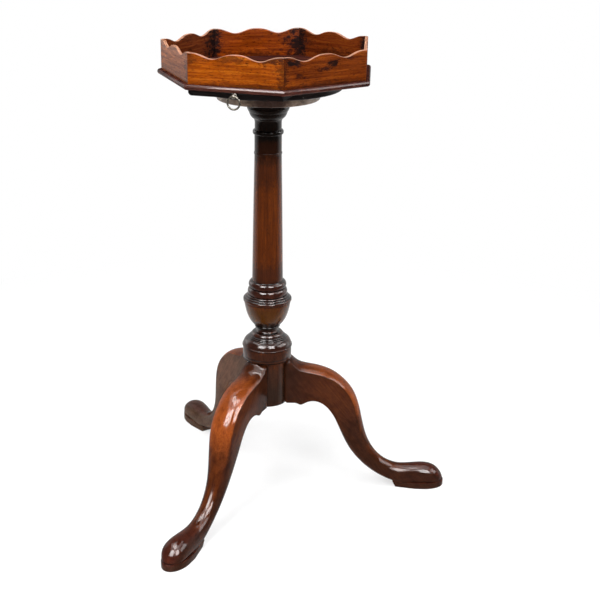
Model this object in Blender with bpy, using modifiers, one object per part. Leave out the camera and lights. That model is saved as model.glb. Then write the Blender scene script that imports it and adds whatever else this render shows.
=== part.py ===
"""Kettle stand: a seven-sided tray with a scalloped gallery on a turned column and three cabriole legs.

Metres, +Z up, floor at Z = 0. Everything hangs from an empty on the column's axis, which stands off the
origin so that the origin is the middle of the footprint. A slide draws out under one side of the tray.
"""

import math

import bmesh
import bpy
from mathutils import Vector

# Fits
FIT = 0.0003
CUT_OVERRUN = 0.002

# Plan of the tray
SIDES = 7
FRONT_LEFT_CORNER = math.radians(-133.96)
SIDE_ANGLE = math.tau / SIDES
SLIDE_SIDE = FRONT_LEFT_CORNER + SIDE_ANGLE / 2

# Tray board
BOARD_CORNER_RADIUS = 0.1405
BOARD_THICKNESS = 0.0066
BOARD_TOP_ROUND = 0.0038
BOARD_UNDERCUT = 0.0024

# Gallery round the tray
GALLERY_CORNER_RADIUS = 0.1350
GALLERY_THICKNESS = 0.0042
GALLERY_HEIGHT = 0.0373
GALLERY_GROOVE_DEPTH = 0.0015
SCALLOP_DEPTH = 0.0061
SCALLOPS_PER_SIDE = 2
SCALLOP_SHARPNESS_SHARE = 1.5
SCALLOP_STEPS = 28

# Round block that carries the board and houses the slide
SLIDE_BLOCK_RADIUS = 0.0936
SLIDE_BLOCK_THICKNESS = 0.0140
SLIDE_BLOCK_ROUND = 0.0030

# Slide
SLIDE_FRONT_INSET = 0.0036
SLIDE_END_SETBACK = 0.0012
SLIDE_THICKNESS = 0.0060
SLIDE_LENGTH = 0.183
SLIDE_TRAVEL = 0.100
SLIDE_WORN_CORNER = 0.0034
STOP_PEG_RADIUS = 0.0020
STOP_PEG_DEPTH = 0.0040
STOP_PEG_FROM_BACK = 0.015

# Ring pull
PULL_ROSE_RADIUS = 0.0030
PULL_ROSE_THICKNESS = 0.0010
PULL_NECK_RADIUS = 0.0013
PULL_STAND_OFF = 0.0045
PULL_BALL_RADIUS = 0.0029
PULL_EYE_RADIUS = 0.00155
PULL_SHANK_LENGTH = 0.012
RING_MEAN_RADIUS = 0.0075
RING_WIRE_RADIUS = 0.00095

# Round block on the column's tenon
COLUMN_BLOCK_RADIUS = 0.0653
COLUMN_BLOCK_THICKNESS = 0.0129
COLUMN_BLOCK_ROUND = 0.0016
TENON_RADIUS = 0.0125
WEDGE_THICKNESS = 0.0014
WEDGE_HEIGHT = 0.008

# Heights of the column
SHOULDER_HEIGHT = 0.5520
BLOCK_BOTTOM_HEIGHT = 0.1345
LEG_BLOCK_HEIGHT = 0.0645
LEG_BLOCK_RADIUS = 0.0277

# Turned mouldings of the column, from the collar down
COLLAR_RADIUS = 0.0273
COLLAR_DRUM_HEIGHT = 0.0115
COLLAR_STEP_RADIUS = 0.0246
COLLAR_STEP_HEIGHT = 0.0050
COLLAR_LIP_RADIUS = 0.0212
COLLAR_BELL_HEIGHT = 0.0067
COLLAR_FILLET_HEIGHT = 0.0008
COLLAR_FILLET_RADIUS = 0.0204
COLLAR_COVE_HEIGHT = 0.0056
NECK_RADIUS = 0.0172
NECK_HEIGHT = 0.0095
ASTRAGAL_RADIUS = 0.0198
ASTRAGAL_HEIGHT = 0.0062
SHAFT_TOP_RADIUS = 0.0175
BAND_HEIGHT = 0.0225
BEAD_RADIUS = 0.0181
BEAD_HEIGHT = 0.0034
SHAFT_FOOT_RADIUS = 0.0205
SHAFT_SWELL_SHARE = 0.10
UPPER_TORUS_RADIUS = 0.0252
UPPER_TORUS_HEIGHT = 0.0094
TORUS_NIP_RADIUS = 0.0224
LOWER_TORUS_RADIUS = 0.0265
LOWER_TORUS_HEIGHT = 0.0098
VASE_NIP_RADIUS = 0.0250
VASE_RIDGE_HEIGHT = 0.0019
VASE_LIP_RADIUS = 0.0324
VASE_LIP_HEIGHT = 0.0022
VASE_GROOVE_RADIUS = 0.0310
VASE_GROOVE_HEIGHT = 0.0010
VASE_BODY_RADIUS = 0.0312
VASE_BODY_HEIGHT = 0.0332
VASE_FOOT_RADIUS = 0.0174
WAIST_RING_RADIUS = 0.0172
WAIST_RING_HEIGHT = 0.0028
WAIST_NIP_RADIUS = 0.0160
WAIST_NIP_HEIGHT = 0.0006
WAIST_RADIUS = 0.0142
WAIST_COVE_HEIGHT = 0.0015
WAIST_HEIGHT = 0.0028
DOME_TOP_RADIUS = 0.0164
DOME_COVE_HEIGHT = 0.0022
DOME_RING_RADIUS = 0.0220
DOME_RING_HEIGHT = 0.0050
DOME_RIDGE_HEIGHT = 0.0013
DOME_RIDGE_RADIUS = 0.0272
DOME_RADIUS = 0.0339
DOME_HEIGHT = 0.0096
DOME_LIP_HEIGHT = 0.0008
RIDGE_GROOVE = 0.0004
RIDGE_RUN_STEPS = 3
DRUM_RADIUS = 0.0329
DRUM_HEIGHT = 0.0152
DRUM_GROOVE_RADIUS = 0.0320
DRUM_GROOVE_HEIGHT = 0.0014

# Legs
LEG_ANGLES = (-math.tau / 3, 0.0, math.tau / 3)
LEG_REACH = 0.2520
LEG_WIDTH = 0.0346
LEG_CROWN_RISE = 0.0050
LEG_SIDE_STEPS = 8
LEG_BETWEEN_STEPS = 2
FOOT_WIDTH = 0.0350
FOOT_HEEL_WIDTH = 0.0216
FOOT_LENGTH = 0.0735
FOOT_HEEL_UNDERCUT = 0.0050
FOOT_TOE_LENGTH = 0.0277
FOOT_START_SHARE = 0.62
FOOT_RUN_SHARE = 0.10
FOOT_FIRST_STEPS = 5
FOOT_WIDTH_SHARES = (0.99, 0.94, 0.62)
PLATFORM_HEIGHT = 0.0095
PLATFORM_STEPS = 12
TONGUE_LENGTH = 0.0140
TONGUE_HEIGHT = 0.0440
TONGUE_TIP_WIDTH = 0.0120
TONGUE_NECK_WIDTH = 0.0084

# Iron strap under the leg joints, and screws
STRAP_ARM_OUT = 0.0123
STRAP_WIDTH = 0.0140
STRAP_THICKNESS = 0.0020
STRAP_SCREW_OUT = 0.0068
SCREW_HEAD_RADIUS = 0.0032
SCREW_HEAD_HEIGHT = 0.0018
SCREW_SHANK_RADIUS = 0.0015
SCREW_TIP_LENGTH = 0.0022
ROUND_HEAD_SHARES = ((0.8, 0.33), (0.4, 0.0), (0.0, 0.0))
SCREW_BITE = 0.0040
STRAP_SCREW_BITE = 0.0120
BOARD_SCREW_REACH = 0.0300
BOARD_SCREW_SPREAD = 0.0760
BLOCK_SCREW_OFFSET = 0.0320
EDGE_PIN_RADIUS = 0.0008
EDGE_PIN_LENGTH = 0.0060
EDGE_PIN_PROUD = 0.0003
EDGE_PIN_RISE = 0.0032
EDGE_PIN_ANGLE = math.radians(-64.0)

# Steps round the turned pieces
COLUMN_STEPS = 32
BLOCK_STEPS = 48
SCREW_STEPS = 12
RING_STEPS = 32
WIRE_STEPS = 8
PULL_BALL_STEPS = 6

# The leg's run: reach and height of the crown, reach and height of the underside, half width, roundness.
# Reaches are shares of the way from the leg block to the toe, crown heights of the joint's top, underside
# heights of the joint's bottom, half widths of the leg's width. Roundness is 0 for a flat-sided section
# with sharp edges to its crown and 1 for an oval.
LEG_STATION_SHARES = (
    (-0.030, 1.011, -0.030, 1.000, 0.490, 0.00),
    (0.012, 1.007, 0.012, 1.000, 0.490, 0.00),
    (0.033, 0.991, 0.034, 1.000, 0.490, 0.00),
    (0.057, 0.962, 0.059, 1.000, 0.490, 0.00),
    (0.087, 0.945, 0.084, 0.969, 0.490, 0.00),
    (0.129, 0.934, 0.114, 1.006, 0.494, 0.00),
    (0.174, 0.926, 0.151, 1.027, 0.497, 0.00),
    (0.255, 0.901, 0.197, 1.012, 0.500, 0.04),
    (0.324, 0.854, 0.237, 0.964, 0.502, 0.10),
    (0.387, 0.783, 0.275, 0.879, 0.506, 0.20),
    (0.428, 0.709, 0.303, 0.776, 0.508, 0.32),
    (0.457, 0.597, 0.333, 0.654, 0.498, 0.50),
    (0.480, 0.462, 0.366, 0.522, 0.452, 0.75),
    (0.511, 0.349, 0.406, 0.401, 0.400, 0.95),
    (0.562, 0.258, 0.470, 0.269, 0.361, 1.00),
    (0.618, 0.200, 0.547, 0.157, 0.347, 1.00),
    (0.688, 0.162, 0.650, 0.065, 0.362, 1.00),
    (0.752, 0.159, 0.738, 0.033, 0.400, 1.00),
    (0.808, 0.163, 0.803, 0.036, 0.440, 1.00),
    (0.855, 0.166, 0.855, 0.038, 0.462, 1.00),
    (0.896, 0.162, 0.900, 0.041, 0.465, 1.00),
    (0.932, 0.149, 0.936, 0.042, 0.440, 1.00),
    (0.962, 0.126, 0.964, 0.044, 0.345, 1.00),
    (0.983, 0.093, 0.985, 0.044, 0.215, 1.00),
    (0.993, 0.071, 0.995, 0.049, 0.075, 1.00),
)

PARTS = "kettle_stand"
CUTTERS = "cutters"


def clear_scene():
    """Remove every object, so that the script can be run again."""
    for thing in list(bpy.data.objects):
        bpy.data.objects.remove(thing, do_unlink=True)


def collection(name):
    """Make a collection under the scene's own."""
    made = bpy.data.collections.new(name)
    bpy.context.scene.collection.children.link(made)
    return made


def finish(name, colour, roughness, metallic=0.0):
    """A plain material with the piece's colour, roughness and metallic value."""
    material = bpy.data.materials.new(name)
    material.use_nodes = True
    shader = material.node_tree.nodes["Principled BSDF"]
    shader.inputs["Base Color"].default_value = (*colour, 1.0)
    shader.inputs["Roughness"].default_value = roughness
    shader.inputs["Metallic"].default_value = metallic
    return material


def stack_heights():
    """Heights of the flat faces, worked out from the column's shoulder up and its leg block down."""
    heights = {"shoulder": SHOULDER_HEIGHT}
    heights["column_block"] = heights["shoulder"] + FIT
    heights["tenon_top"] = heights["column_block"] + COLUMN_BLOCK_THICKNESS
    heights["slide_block"] = heights["tenon_top"] + FIT
    heights["slide_block_top"] = heights["slide_block"] + SLIDE_BLOCK_THICKNESS
    heights["slide_top"] = heights["slide_block_top"]
    heights["slide"] = heights["slide_top"] - SLIDE_THICKNESS
    heights["channel"] = heights["slide"] - FIT
    heights["board"] = heights["slide_block_top"] + FIT
    heights["board_top"] = heights["board"] + BOARD_THICKNESS
    heights["gallery"] = heights["board_top"] - GALLERY_GROOVE_DEPTH + FIT
    heights["block_bottom"] = BLOCK_BOTTOM_HEIGHT
    heights["block_top"] = BLOCK_BOTTOM_HEIGHT + LEG_BLOCK_HEIGHT
    return heights


HEIGHTS = stack_heights()


def apothem(corner_radius):
    """Distance from the tray's middle to the middle of a side."""
    return corner_radius * math.cos(SIDE_ANGLE / 2)


SLIDE_FRONT = apothem(BOARD_CORNER_RADIUS) - SLIDE_FRONT_INSET
SLIDE_HALF_WIDTH = SLIDE_FRONT * math.tan(SIDE_ANGLE / 2) - SLIDE_END_SETBACK
SLIDE_BACK = SLIDE_FRONT - SLIDE_LENGTH
STOP_PEG_PLACE = SLIDE_BACK + STOP_PEG_FROM_BACK


def axis_offset():
    """Place of the column's axis that puts the origin at the middle of the footprint."""
    corners = [FRONT_LEFT_CORNER + k * SIDE_ANGLE for k in range(SIDES)]
    far_left = min(BOARD_CORNER_RADIUS * math.cos(angle) for angle in corners)
    return -(LEG_REACH + far_left) / 2


class Builder:
    """Holds the collections, the root empty and the finishes while the pieces are made."""

    def __init__(self):
        self.parts = collection(PARTS)
        self.cutters = collection(CUTTERS)
        self.axis = self.empty("stand_axis", (axis_offset(), 0.0, 0.0))
        self.slide_frame = self.empty("slide_frame", (0.0, 0.0, 0.0), self.axis, SLIDE_SIDE)
        ring_place = (SLIDE_FRONT + PULL_STAND_OFF, 0.0, HEIGHTS["slide"] + SLIDE_THICKNESS / 2)
        self.ring_frame = self.empty("ring_frame", ring_place, self.slide_frame)
        self.polish = finish("polished_mahogany", (0.20, 0.060, 0.022), 0.28)
        self.gallery_wood = finish("gallery_mahogany", (0.36, 0.115, 0.028), 0.35)
        self.dark_wood = finish("dark_mahogany", (0.045, 0.016, 0.012), 0.30)
        self.under_wood = finish("underside_wood", (0.075, 0.045, 0.032), 0.60)
        self.brass = finish("old_brass", (0.42, 0.34, 0.22), 0.35, 1.0)
        self.iron = finish("black_iron", (0.060, 0.055, 0.050), 0.60, 0.9)

    def empty(self, name, place, parent=None, turn=0.0):
        """An empty that other pieces hang from."""
        made = bpy.data.objects.new(name, None)
        made.location = place
        made.rotation_euler = (0.0, 0.0, turn)
        made.parent = parent
        self.parts.objects.link(made)
        return made

    def add(self, name, mesh, material, parent=None, place=(0.0, 0.0, 0.0), turn=0.0):
        """Put a mesh in the parts collection as one named piece."""
        made = bpy.data.objects.new(name, mesh)
        made.location = place
        made.rotation_euler = (0.0, 0.0, turn)
        made.parent = parent or self.axis
        if not mesh.materials:
            mesh.materials.append(material)
        self.parts.objects.link(made)
        return made

    def cutter(self, name, mesh, parent=None, place=(0.0, 0.0, 0.0), rotation=(0.0, 0.0, 0.0)):
        """Put a mesh in the cutters collection, out of sight."""
        made = bpy.data.objects.new(name, mesh)
        made.location = place
        made.rotation_euler = rotation
        made.parent = parent or self.axis
        made.hide_render = True
        made.display_type = "WIRE"
        self.cutters.objects.link(made)
        return made


def boolean(piece, cutter, operation="DIFFERENCE"):
    """Cut or join one piece with another, exactly."""
    modifier = piece.modifiers.new(cutter.name, "BOOLEAN")
    modifier.operation = operation
    modifier.solver = "EXACT"
    modifier.object = cutter
    return modifier


def box_mesh(name, low, high):
    """A box between two corners."""
    low = Vector(low)
    high = Vector(high)
    shape = bmesh.new()
    bmesh.ops.create_cube(shape, size=1.0)
    for vertex in shape.verts:
        place = vertex.co
        vertex.co = low + Vector((place[k] + 0.5) * (high[k] - low[k]) for k in range(3))
    mesh = bpy.data.meshes.new(name)
    shape.to_mesh(mesh)
    shape.free()
    return mesh


def rod_mesh(name, radius, bottom, top, steps):
    """An upright round rod between two heights."""
    shape = bmesh.new()
    bmesh.ops.create_cone(
        shape, cap_ends=True, segments=steps, radius1=radius, radius2=radius, depth=top - bottom
    )
    bmesh.ops.translate(shape, verts=shape.verts, vec=(0.0, 0.0, (top + bottom) / 2))
    mesh = bpy.data.meshes.new(name)
    shape.to_mesh(mesh)
    shape.free()
    return mesh


def turned_mesh(name, profile, steps, smooth=True, start_angle=0.0):
    """A turned piece: the profile runs down the outer side at +X, from the axis to the axis."""
    wire = bpy.data.meshes.new(name + "_profile")
    cosine = math.cos(start_angle)
    sine = math.sin(start_angle)
    points = [(radius * cosine, radius * sine, height) for radius, height in profile]
    wire.from_pydata(points, [(k, k + 1) for k in range(len(points) - 1)], [])
    lathe = bpy.data.objects.new(name + "_lathe", wire)
    bpy.context.scene.collection.objects.link(lathe)
    screw = lathe.modifiers.new("Screw", "SCREW")
    screw.axis = "Z"
    screw.angle = math.tau
    screw.steps = steps
    screw.render_steps = steps
    screw.use_merge_vertices = True
    screw.merge_threshold = FIT / 30
    screw.use_smooth_shade = smooth
    graph = bpy.context.evaluated_depsgraph_get()
    mesh = bpy.data.meshes.new_from_object(lathe.evaluated_get(graph))
    mesh.name = name
    bpy.data.objects.remove(lathe, do_unlink=True)
    if smooth:
        mesh.shade_smooth()
        mesh.set_sharp_from_angle(angle=math.radians(35))
    return mesh


def bow(start, end, bow_share, steps):
    """Points from start to end, bowed out by a share of the way to the corner of larger radius.

    A negative share bows the line in, towards the corner of smaller radius."""
    outer = (max(start[0], end[0]), end[1] if start[0] > end[0] else start[1])
    inner = (min(start[0], end[0]), start[1] if start[0] > end[0] else end[1])
    corner = outer if bow_share >= 0 else inner
    middle = [(start[k] + end[k]) / 2 for k in range(2)]
    pull = [middle[k] + abs(bow_share) * (corner[k] - middle[k]) for k in range(2)]
    points = []
    for step in range(1, steps + 1):
        t = step / steps
        points.append(
            tuple((1 - t) ** 2 * start[k] + 2 * t * (1 - t) * pull[k] + t * t * end[k] for k in range(2))
        )
    return points


def rounded_edge(radius, bottom, top, edge_round, steps=3):
    """Profile of a round block with both rims rounded, from the axis at the top to the axis below."""
    points = [(0.0, top), (radius - edge_round, top)]
    points += bow(points[-1], (radius, top - edge_round), 0.9, steps)
    points.append((radius, bottom + edge_round))
    points += bow(points[-1], (radius - edge_round, bottom), 0.9, steps)
    points.append((0.0, bottom))
    return points


def ridge_rows(start, end, height):
    """Rows for a run of fine rounded ridges that step out from one radius to another."""
    rows = []
    for step in range(1, RIDGE_RUN_STEPS + 1):
        radius = start + (end - start) * step / RIDGE_RUN_STEPS
        rows.append((radius, height, 0.8, 2))
        if step < RIDGE_RUN_STEPS:
            rows.append((radius - RIDGE_GROOVE, RIDGE_GROOVE, 0.0, 1))
    return rows


def column_profile():
    """The column's outline from the top of its tenon down to the underside of its leg block."""
    full_round = 0.95
    steps_long = 6
    steps_short = 3
    mouldings = (
        (COLLAR_RADIUS, COLLAR_DRUM_HEIGHT, 0.0, 1),
        (COLLAR_STEP_RADIUS, COLLAR_STEP_HEIGHT, 0.2, 2),
        (COLLAR_LIP_RADIUS, COLLAR_BELL_HEIGHT, 0.3, steps_short),
        (COLLAR_FILLET_RADIUS, COLLAR_FILLET_HEIGHT, 0.0, 1),
        (NECK_RADIUS, COLLAR_COVE_HEIGHT, -0.6, steps_short),
        (NECK_RADIUS, NECK_HEIGHT, 0.0, 1),
        (ASTRAGAL_RADIUS, ASTRAGAL_HEIGHT / 2, full_round, steps_short),
        (SHAFT_TOP_RADIUS, ASTRAGAL_HEIGHT / 2, full_round, steps_short),
        (SHAFT_TOP_RADIUS, BAND_HEIGHT, 0.0, 1),
        (BEAD_RADIUS, BEAD_HEIGHT / 2, full_round, 2),
        (SHAFT_TOP_RADIUS, BEAD_HEIGHT / 2, full_round, 2),
        "shaft",
        (UPPER_TORUS_RADIUS, UPPER_TORUS_HEIGHT / 2, full_round, steps_short),
        (TORUS_NIP_RADIUS, UPPER_TORUS_HEIGHT / 2, full_round, steps_short),
        (LOWER_TORUS_RADIUS, LOWER_TORUS_HEIGHT / 2, full_round, steps_short),
        (VASE_NIP_RADIUS, LOWER_TORUS_HEIGHT / 2, full_round, steps_short),
        *ridge_rows(VASE_NIP_RADIUS, VASE_LIP_RADIUS, VASE_RIDGE_HEIGHT),
        (VASE_LIP_RADIUS, VASE_LIP_HEIGHT, 0.0, 1),
        (VASE_GROOVE_RADIUS, VASE_GROOVE_HEIGHT, 0.0, 1),
        (VASE_BODY_RADIUS, VASE_GROOVE_HEIGHT, 0.0, 1),
        (VASE_FOOT_RADIUS, VASE_BODY_HEIGHT, 0.5, steps_long),
        (WAIST_NIP_RADIUS, WAIST_NIP_HEIGHT, 0.0, 1),
        (WAIST_RING_RADIUS, WAIST_RING_HEIGHT / 2, full_round, 2),
        (WAIST_NIP_RADIUS, WAIST_RING_HEIGHT / 2, full_round, 2),
        (WAIST_RADIUS, WAIST_COVE_HEIGHT, -0.6, 2),
        (WAIST_RADIUS, WAIST_HEIGHT, 0.0, 1),
        (DOME_TOP_RADIUS, DOME_COVE_HEIGHT, -0.6, 2),
        (DOME_RING_RADIUS, DOME_RING_HEIGHT, 0.75, steps_short),
        *ridge_rows(DOME_RING_RADIUS, DOME_RIDGE_RADIUS, DOME_RIDGE_HEIGHT),
        (DOME_RADIUS, DOME_HEIGHT, 0.55, 4),
        (DOME_RADIUS, DOME_LIP_HEIGHT, 0.0, 1),
        (DRUM_RADIUS, DRUM_GROOVE_HEIGHT, 0.0, 1),
        (DRUM_RADIUS, DRUM_HEIGHT, 0.0, 1),
        (DRUM_GROOVE_RADIUS, DRUM_GROOVE_HEIGHT / 2, 0.0, 1),
        (DRUM_RADIUS, DRUM_GROOVE_HEIGHT / 2, 0.0, 1),
    )
    fixed = sum(row[1] for row in mouldings if row != "shaft")
    shaft_length = HEIGHTS["shoulder"] - HEIGHTS["block_top"] - fixed
    points = [(0.0, HEIGHTS["tenon_top"]), (TENON_RADIUS, HEIGHTS["tenon_top"])]
    points += [(TENON_RADIUS, HEIGHTS["shoulder"]), (COLLAR_RADIUS, HEIGHTS["shoulder"])]
    for row in mouldings:
        if row == "shaft":
            foot = (SHAFT_FOOT_RADIUS, points[-1][1] - shaft_length)
            points += bow(points[-1], foot, SHAFT_SWELL_SHARE, steps_long)
            continue
        radius, height, bow_share, steps = row
        points += bow(points[-1], (radius, points[-1][1] - height), bow_share, steps)
    points.append((DRUM_RADIUS, HEIGHTS["block_top"]))
    points.append((LEG_BLOCK_RADIUS, HEIGHTS["block_top"]))
    points.append((LEG_BLOCK_RADIUS, HEIGHTS["block_bottom"]))
    points.append((0.0, HEIGHTS["block_bottom"]))
    return [point for k, point in enumerate(points) if k == 0 or math.dist(point, points[k - 1]) > FIT / 10]


def dovetail_mesh(name, grow, bottom, top):
    """A dovetail running up the leg's inner end, grown by a clearance where it is a cutter."""
    tip = LEG_BLOCK_RADIUS - TONGUE_LENGTH - grow
    neck = LEG_BLOCK_RADIUS + FIT + CUT_OVERRUN
    tip_half = TONGUE_TIP_WIDTH / 2 + grow
    neck_half = TONGUE_NECK_WIDTH / 2 + grow
    mesh = box_mesh(name, (tip, -tip_half, bottom), (neck, tip_half, top))
    for vertex in mesh.vertices:
        if vertex.co.x > LEG_BLOCK_RADIUS:
            vertex.co.y = math.copysign(neck_half, vertex.co.y)
    return mesh


def smooth_rail(rows, steps_between):
    """Rows of numbers with in-between rows on a curve through them."""
    smooth = []
    last = len(rows) - 1
    for k in range(last):
        before = rows[max(k - 1, 0)]
        start = rows[k]
        end = rows[k + 1]
        after = rows[min(k + 2, last)]
        for step in range(steps_between):
            t = step / steps_between
            smooth.append(
                tuple(
                    0.5
                    * (
                        2 * b
                        + (c - a) * t
                        + (2 * a - 5 * b + 4 * c - d) * t**2
                        + (3 * b - a - 3 * c + d) * t**3
                    )
                    for a, b, c, d in zip(before, start, end, after)
                )
            )
    smooth.append(rows[last])
    return smooth


def leg_section(half_width, depth, roundness_share, foot_share):
    """Points round a leg section: sideways place and height, from the crown round through the underside.

    The flat-sided section has a low crown, sharp upper edges and upright sides. A foot's section is round
    above and nearly upright below, where it sits on its platform."""
    crown_share = LEG_CROWN_RISE / depth
    flat_shares = (
        (0.0, 1.0),
        (0.52, 1.0 - 0.25 * crown_share),
        (0.84, 1.0 - 0.68 * crown_share),
        (1.0, 1.0 - crown_share),
        (1.0, 0.5),
        (0.98, 0.18),
        (0.94, 0.0),
        (0.5, 0.0),
        (0.0, 0.0),
    )
    side = []
    for k, (across_share, up_share) in enumerate(flat_shares):
        angle = math.pi * k / LEG_SIDE_STEPS
        across = (1 - roundness_share) * across_share + roundness_share * math.sin(angle)
        up = (1 - roundness_share) * up_share + roundness_share * (0.5 + 0.5 * math.cos(angle))
        if 0 <= k - FOOT_FIRST_STEPS < len(FOOT_WIDTH_SHARES):
            across += foot_share * (FOOT_WIDTH_SHARES[k - FOOT_FIRST_STEPS] - across)
        side.append((across * half_width, up))
    return side + [(-across, up) for across, up in reversed(side[1:-1])]


def leg_mesh():
    """The leg's carved run from inside the leg block to the toe, as a loft along +X."""
    shape = bmesh.new()
    span = LEG_REACH - LEG_BLOCK_RADIUS
    rings = []
    for row in smooth_rail(LEG_STATION_SHARES, LEG_BETWEEN_STEPS):
        crown_reach, crown_rise, under_reach, under_rise, half_share, roundness_share = row
        crown = Vector((LEG_BLOCK_RADIUS + crown_reach * span, 0.0, crown_rise * HEIGHTS["block_top"]))
        under = Vector((LEG_BLOCK_RADIUS + under_reach * span, 0.0, under_rise * HEIGHTS["block_bottom"]))
        rise = crown - under
        round_share = min(max(roundness_share, 0.0), 1.0)
        foot_share = min(max((crown_reach - FOOT_START_SHARE) / FOOT_RUN_SHARE, 0.0), 1.0)
        section = leg_section(half_share * LEG_WIDTH, rise.length, round_share, foot_share)
        places = [under + rise * up + Vector((0.0, across, 0.0)) for across, up in section]
        rings.append([shape.verts.new(place) for place in places])
    for one, two in zip(rings, rings[1:]):
        for k in range(len(one)):
            after = (k + 1) % len(one)
            shape.faces.new((one[k], one[after], two[after], two[k]))
    shape.faces.new(rings[0])
    shape.faces.new(rings[-1])
    bmesh.ops.recalc_face_normals(shape, faces=shape.faces)
    mesh = bpy.data.meshes.new("leg_run")
    shape.to_mesh(mesh)
    shape.free()
    return mesh


def platform_outline(heel_reach):
    """Plan of the low platform under a foot: narrow square heel, wide rounded toe."""
    heel = LEG_REACH - FOOT_LENGTH + heel_reach
    toe_start = LEG_REACH - FOOT_TOE_LENGTH
    half = FOOT_WIDTH / 2
    points = [(heel, -FOOT_HEEL_WIDTH / 2), (toe_start - FOOT_TOE_LENGTH / 2, -half + FIT)]
    for k in range(PLATFORM_STEPS + 1):
        angle = math.pi * (k / PLATFORM_STEPS - 0.5)
        points.append((toe_start + FOOT_TOE_LENGTH * math.cos(angle), half * math.sin(angle)))
    points += [(toe_start - FOOT_TOE_LENGTH / 2, half - FIT), (heel, FOOT_HEEL_WIDTH / 2)]
    return points


def platform_mesh():
    """The platform as a loft between its sole and its top."""
    shape = bmesh.new()
    sole = [shape.verts.new((x, y, 0.0)) for x, y in platform_outline(FOOT_HEEL_UNDERCUT)]
    top = [shape.verts.new((x, y, PLATFORM_HEIGHT)) for x, y in platform_outline(0.0)]
    for k in range(len(sole)):
        after = (k + 1) % len(sole)
        shape.faces.new((sole[k], sole[after], top[after], top[k]))
    shape.faces.new(sole)
    shape.faces.new(top)
    bmesh.ops.recalc_face_normals(shape, faces=shape.faces)
    mesh = bpy.data.meshes.new("foot_platform")
    shape.to_mesh(mesh)
    shape.free()
    return mesh


def evaluated_mesh(piece, name):
    """The piece's mesh after its modifiers."""
    bpy.context.view_layer.update()
    graph = bpy.context.evaluated_depsgraph_get()
    mesh = bpy.data.meshes.new_from_object(piece.evaluated_get(graph))
    mesh.name = name
    return mesh


def strap_bite_room(name):
    """The hole that a strap screw bites into."""
    bottom = HEIGHTS["block_bottom"]
    return rod_mesh(
        name, SCREW_SHANK_RADIUS + FIT, bottom - CUT_OVERRUN, bottom + STRAP_SCREW_BITE + FIT, SCREW_STEPS
    )


def build_legs(builder):
    """Three alike legs, dovetailed into the leg block."""
    bottom = HEIGHTS["block_bottom"]
    top = HEIGHTS["block_top"]
    pattern = builder.cutter("leg_pattern", leg_mesh())
    profile = [
        (0.0, top + LEG_BLOCK_HEIGHT),
        (DRUM_RADIUS + CUT_OVERRUN, top + LEG_BLOCK_HEIGHT),
        (DRUM_RADIUS + CUT_OVERRUN, top - FIT),
        (LEG_BLOCK_RADIUS + FIT, top - FIT),
        (LEG_BLOCK_RADIUS + FIT, bottom - CUT_OVERRUN),
        (0.0, bottom - CUT_OVERRUN),
    ]
    room = builder.cutter("leg_block_room", turned_mesh("leg_block_room", profile, COLUMN_STEPS, False))
    tongue_top = bottom + TONGUE_HEIGHT
    tongue = builder.cutter("dovetail_tongue", dovetail_mesh("dovetail_tongue", 0.0, bottom, tongue_top))
    platform = builder.cutter("foot_platform", platform_mesh())
    room_mesh = strap_bite_room("leg_screw_room")
    room_place = (LEG_BLOCK_RADIUS + STRAP_SCREW_OUT, 0.0, 0.0)
    screw_room = builder.cutter("leg_screw_room", room_mesh, place=room_place)
    boolean(pattern, room)
    boolean(pattern, tongue, "UNION")
    boolean(pattern, platform, "UNION")
    boolean(pattern, screw_room)
    mesh = evaluated_mesh(pattern, "leg")
    mesh.materials.clear()
    for name, angle in zip(("leg_front", "leg_right", "leg_back"), LEG_ANGLES):
        builder.add(name, mesh, builder.polish, turn=angle)


def build_column(builder):
    """The turned column with its tenon, wedge slot and dovetail slots."""
    column = builder.add("column", turned_mesh("column", column_profile(), COLUMN_STEPS), builder.polish)
    bottom = HEIGHTS["block_bottom"]
    slot = dovetail_mesh("dovetail_slot", FIT, bottom - CUT_OVERRUN, bottom + TONGUE_HEIGHT + FIT)
    for name, angle in zip(("front", "right", "back"), LEG_ANGLES):
        boolean(column, builder.cutter("dovetail_slot_" + name, slot, rotation=(0.0, 0.0, angle)))
    tenon_top = HEIGHTS["tenon_top"]
    half = WEDGE_THICKNESS / 2 + FIT
    wedge_room = box_mesh(
        "wedge_room",
        (-TENON_RADIUS - CUT_OVERRUN, -half, tenon_top - WEDGE_HEIGHT - FIT),
        (TENON_RADIUS + CUT_OVERRUN, half, tenon_top + CUT_OVERRUN),
    )
    boolean(column, builder.cutter("wedge_room", wedge_room))
    boolean(column, builder.cutter("centre_screw_room", strap_bite_room("centre_screw_room")))
    wedge = box_mesh(
        "column_wedge",
        (-TENON_RADIUS, -WEDGE_THICKNESS / 2, tenon_top - WEDGE_HEIGHT),
        (TENON_RADIUS, WEDGE_THICKNESS / 2, tenon_top),
    )
    trim_wedge(wedge)
    builder.add("column_wedge", wedge, builder.under_wood)


def trim_wedge(mesh):
    """Thin the wedge's lower edge, as a driven wedge is."""
    low = min(vertex.co.z for vertex in mesh.vertices)
    for vertex in mesh.vertices:
        reach = math.sqrt(TENON_RADIUS**2 - vertex.co.y**2) - FIT
        vertex.co.x = math.copysign(reach, vertex.co.x)
        if vertex.co.z <= low:
            vertex.co.y *= 0.5


def screw_profile(length):
    """A countersunk wood screw standing on its head, from its tip down."""
    return [
        (0.0, length),
        (SCREW_SHANK_RADIUS, length - SCREW_TIP_LENGTH),
        (SCREW_SHANK_RADIUS, SCREW_HEAD_HEIGHT),
        (SCREW_HEAD_RADIUS, 0.0),
        (0.0, 0.0),
    ]


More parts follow.
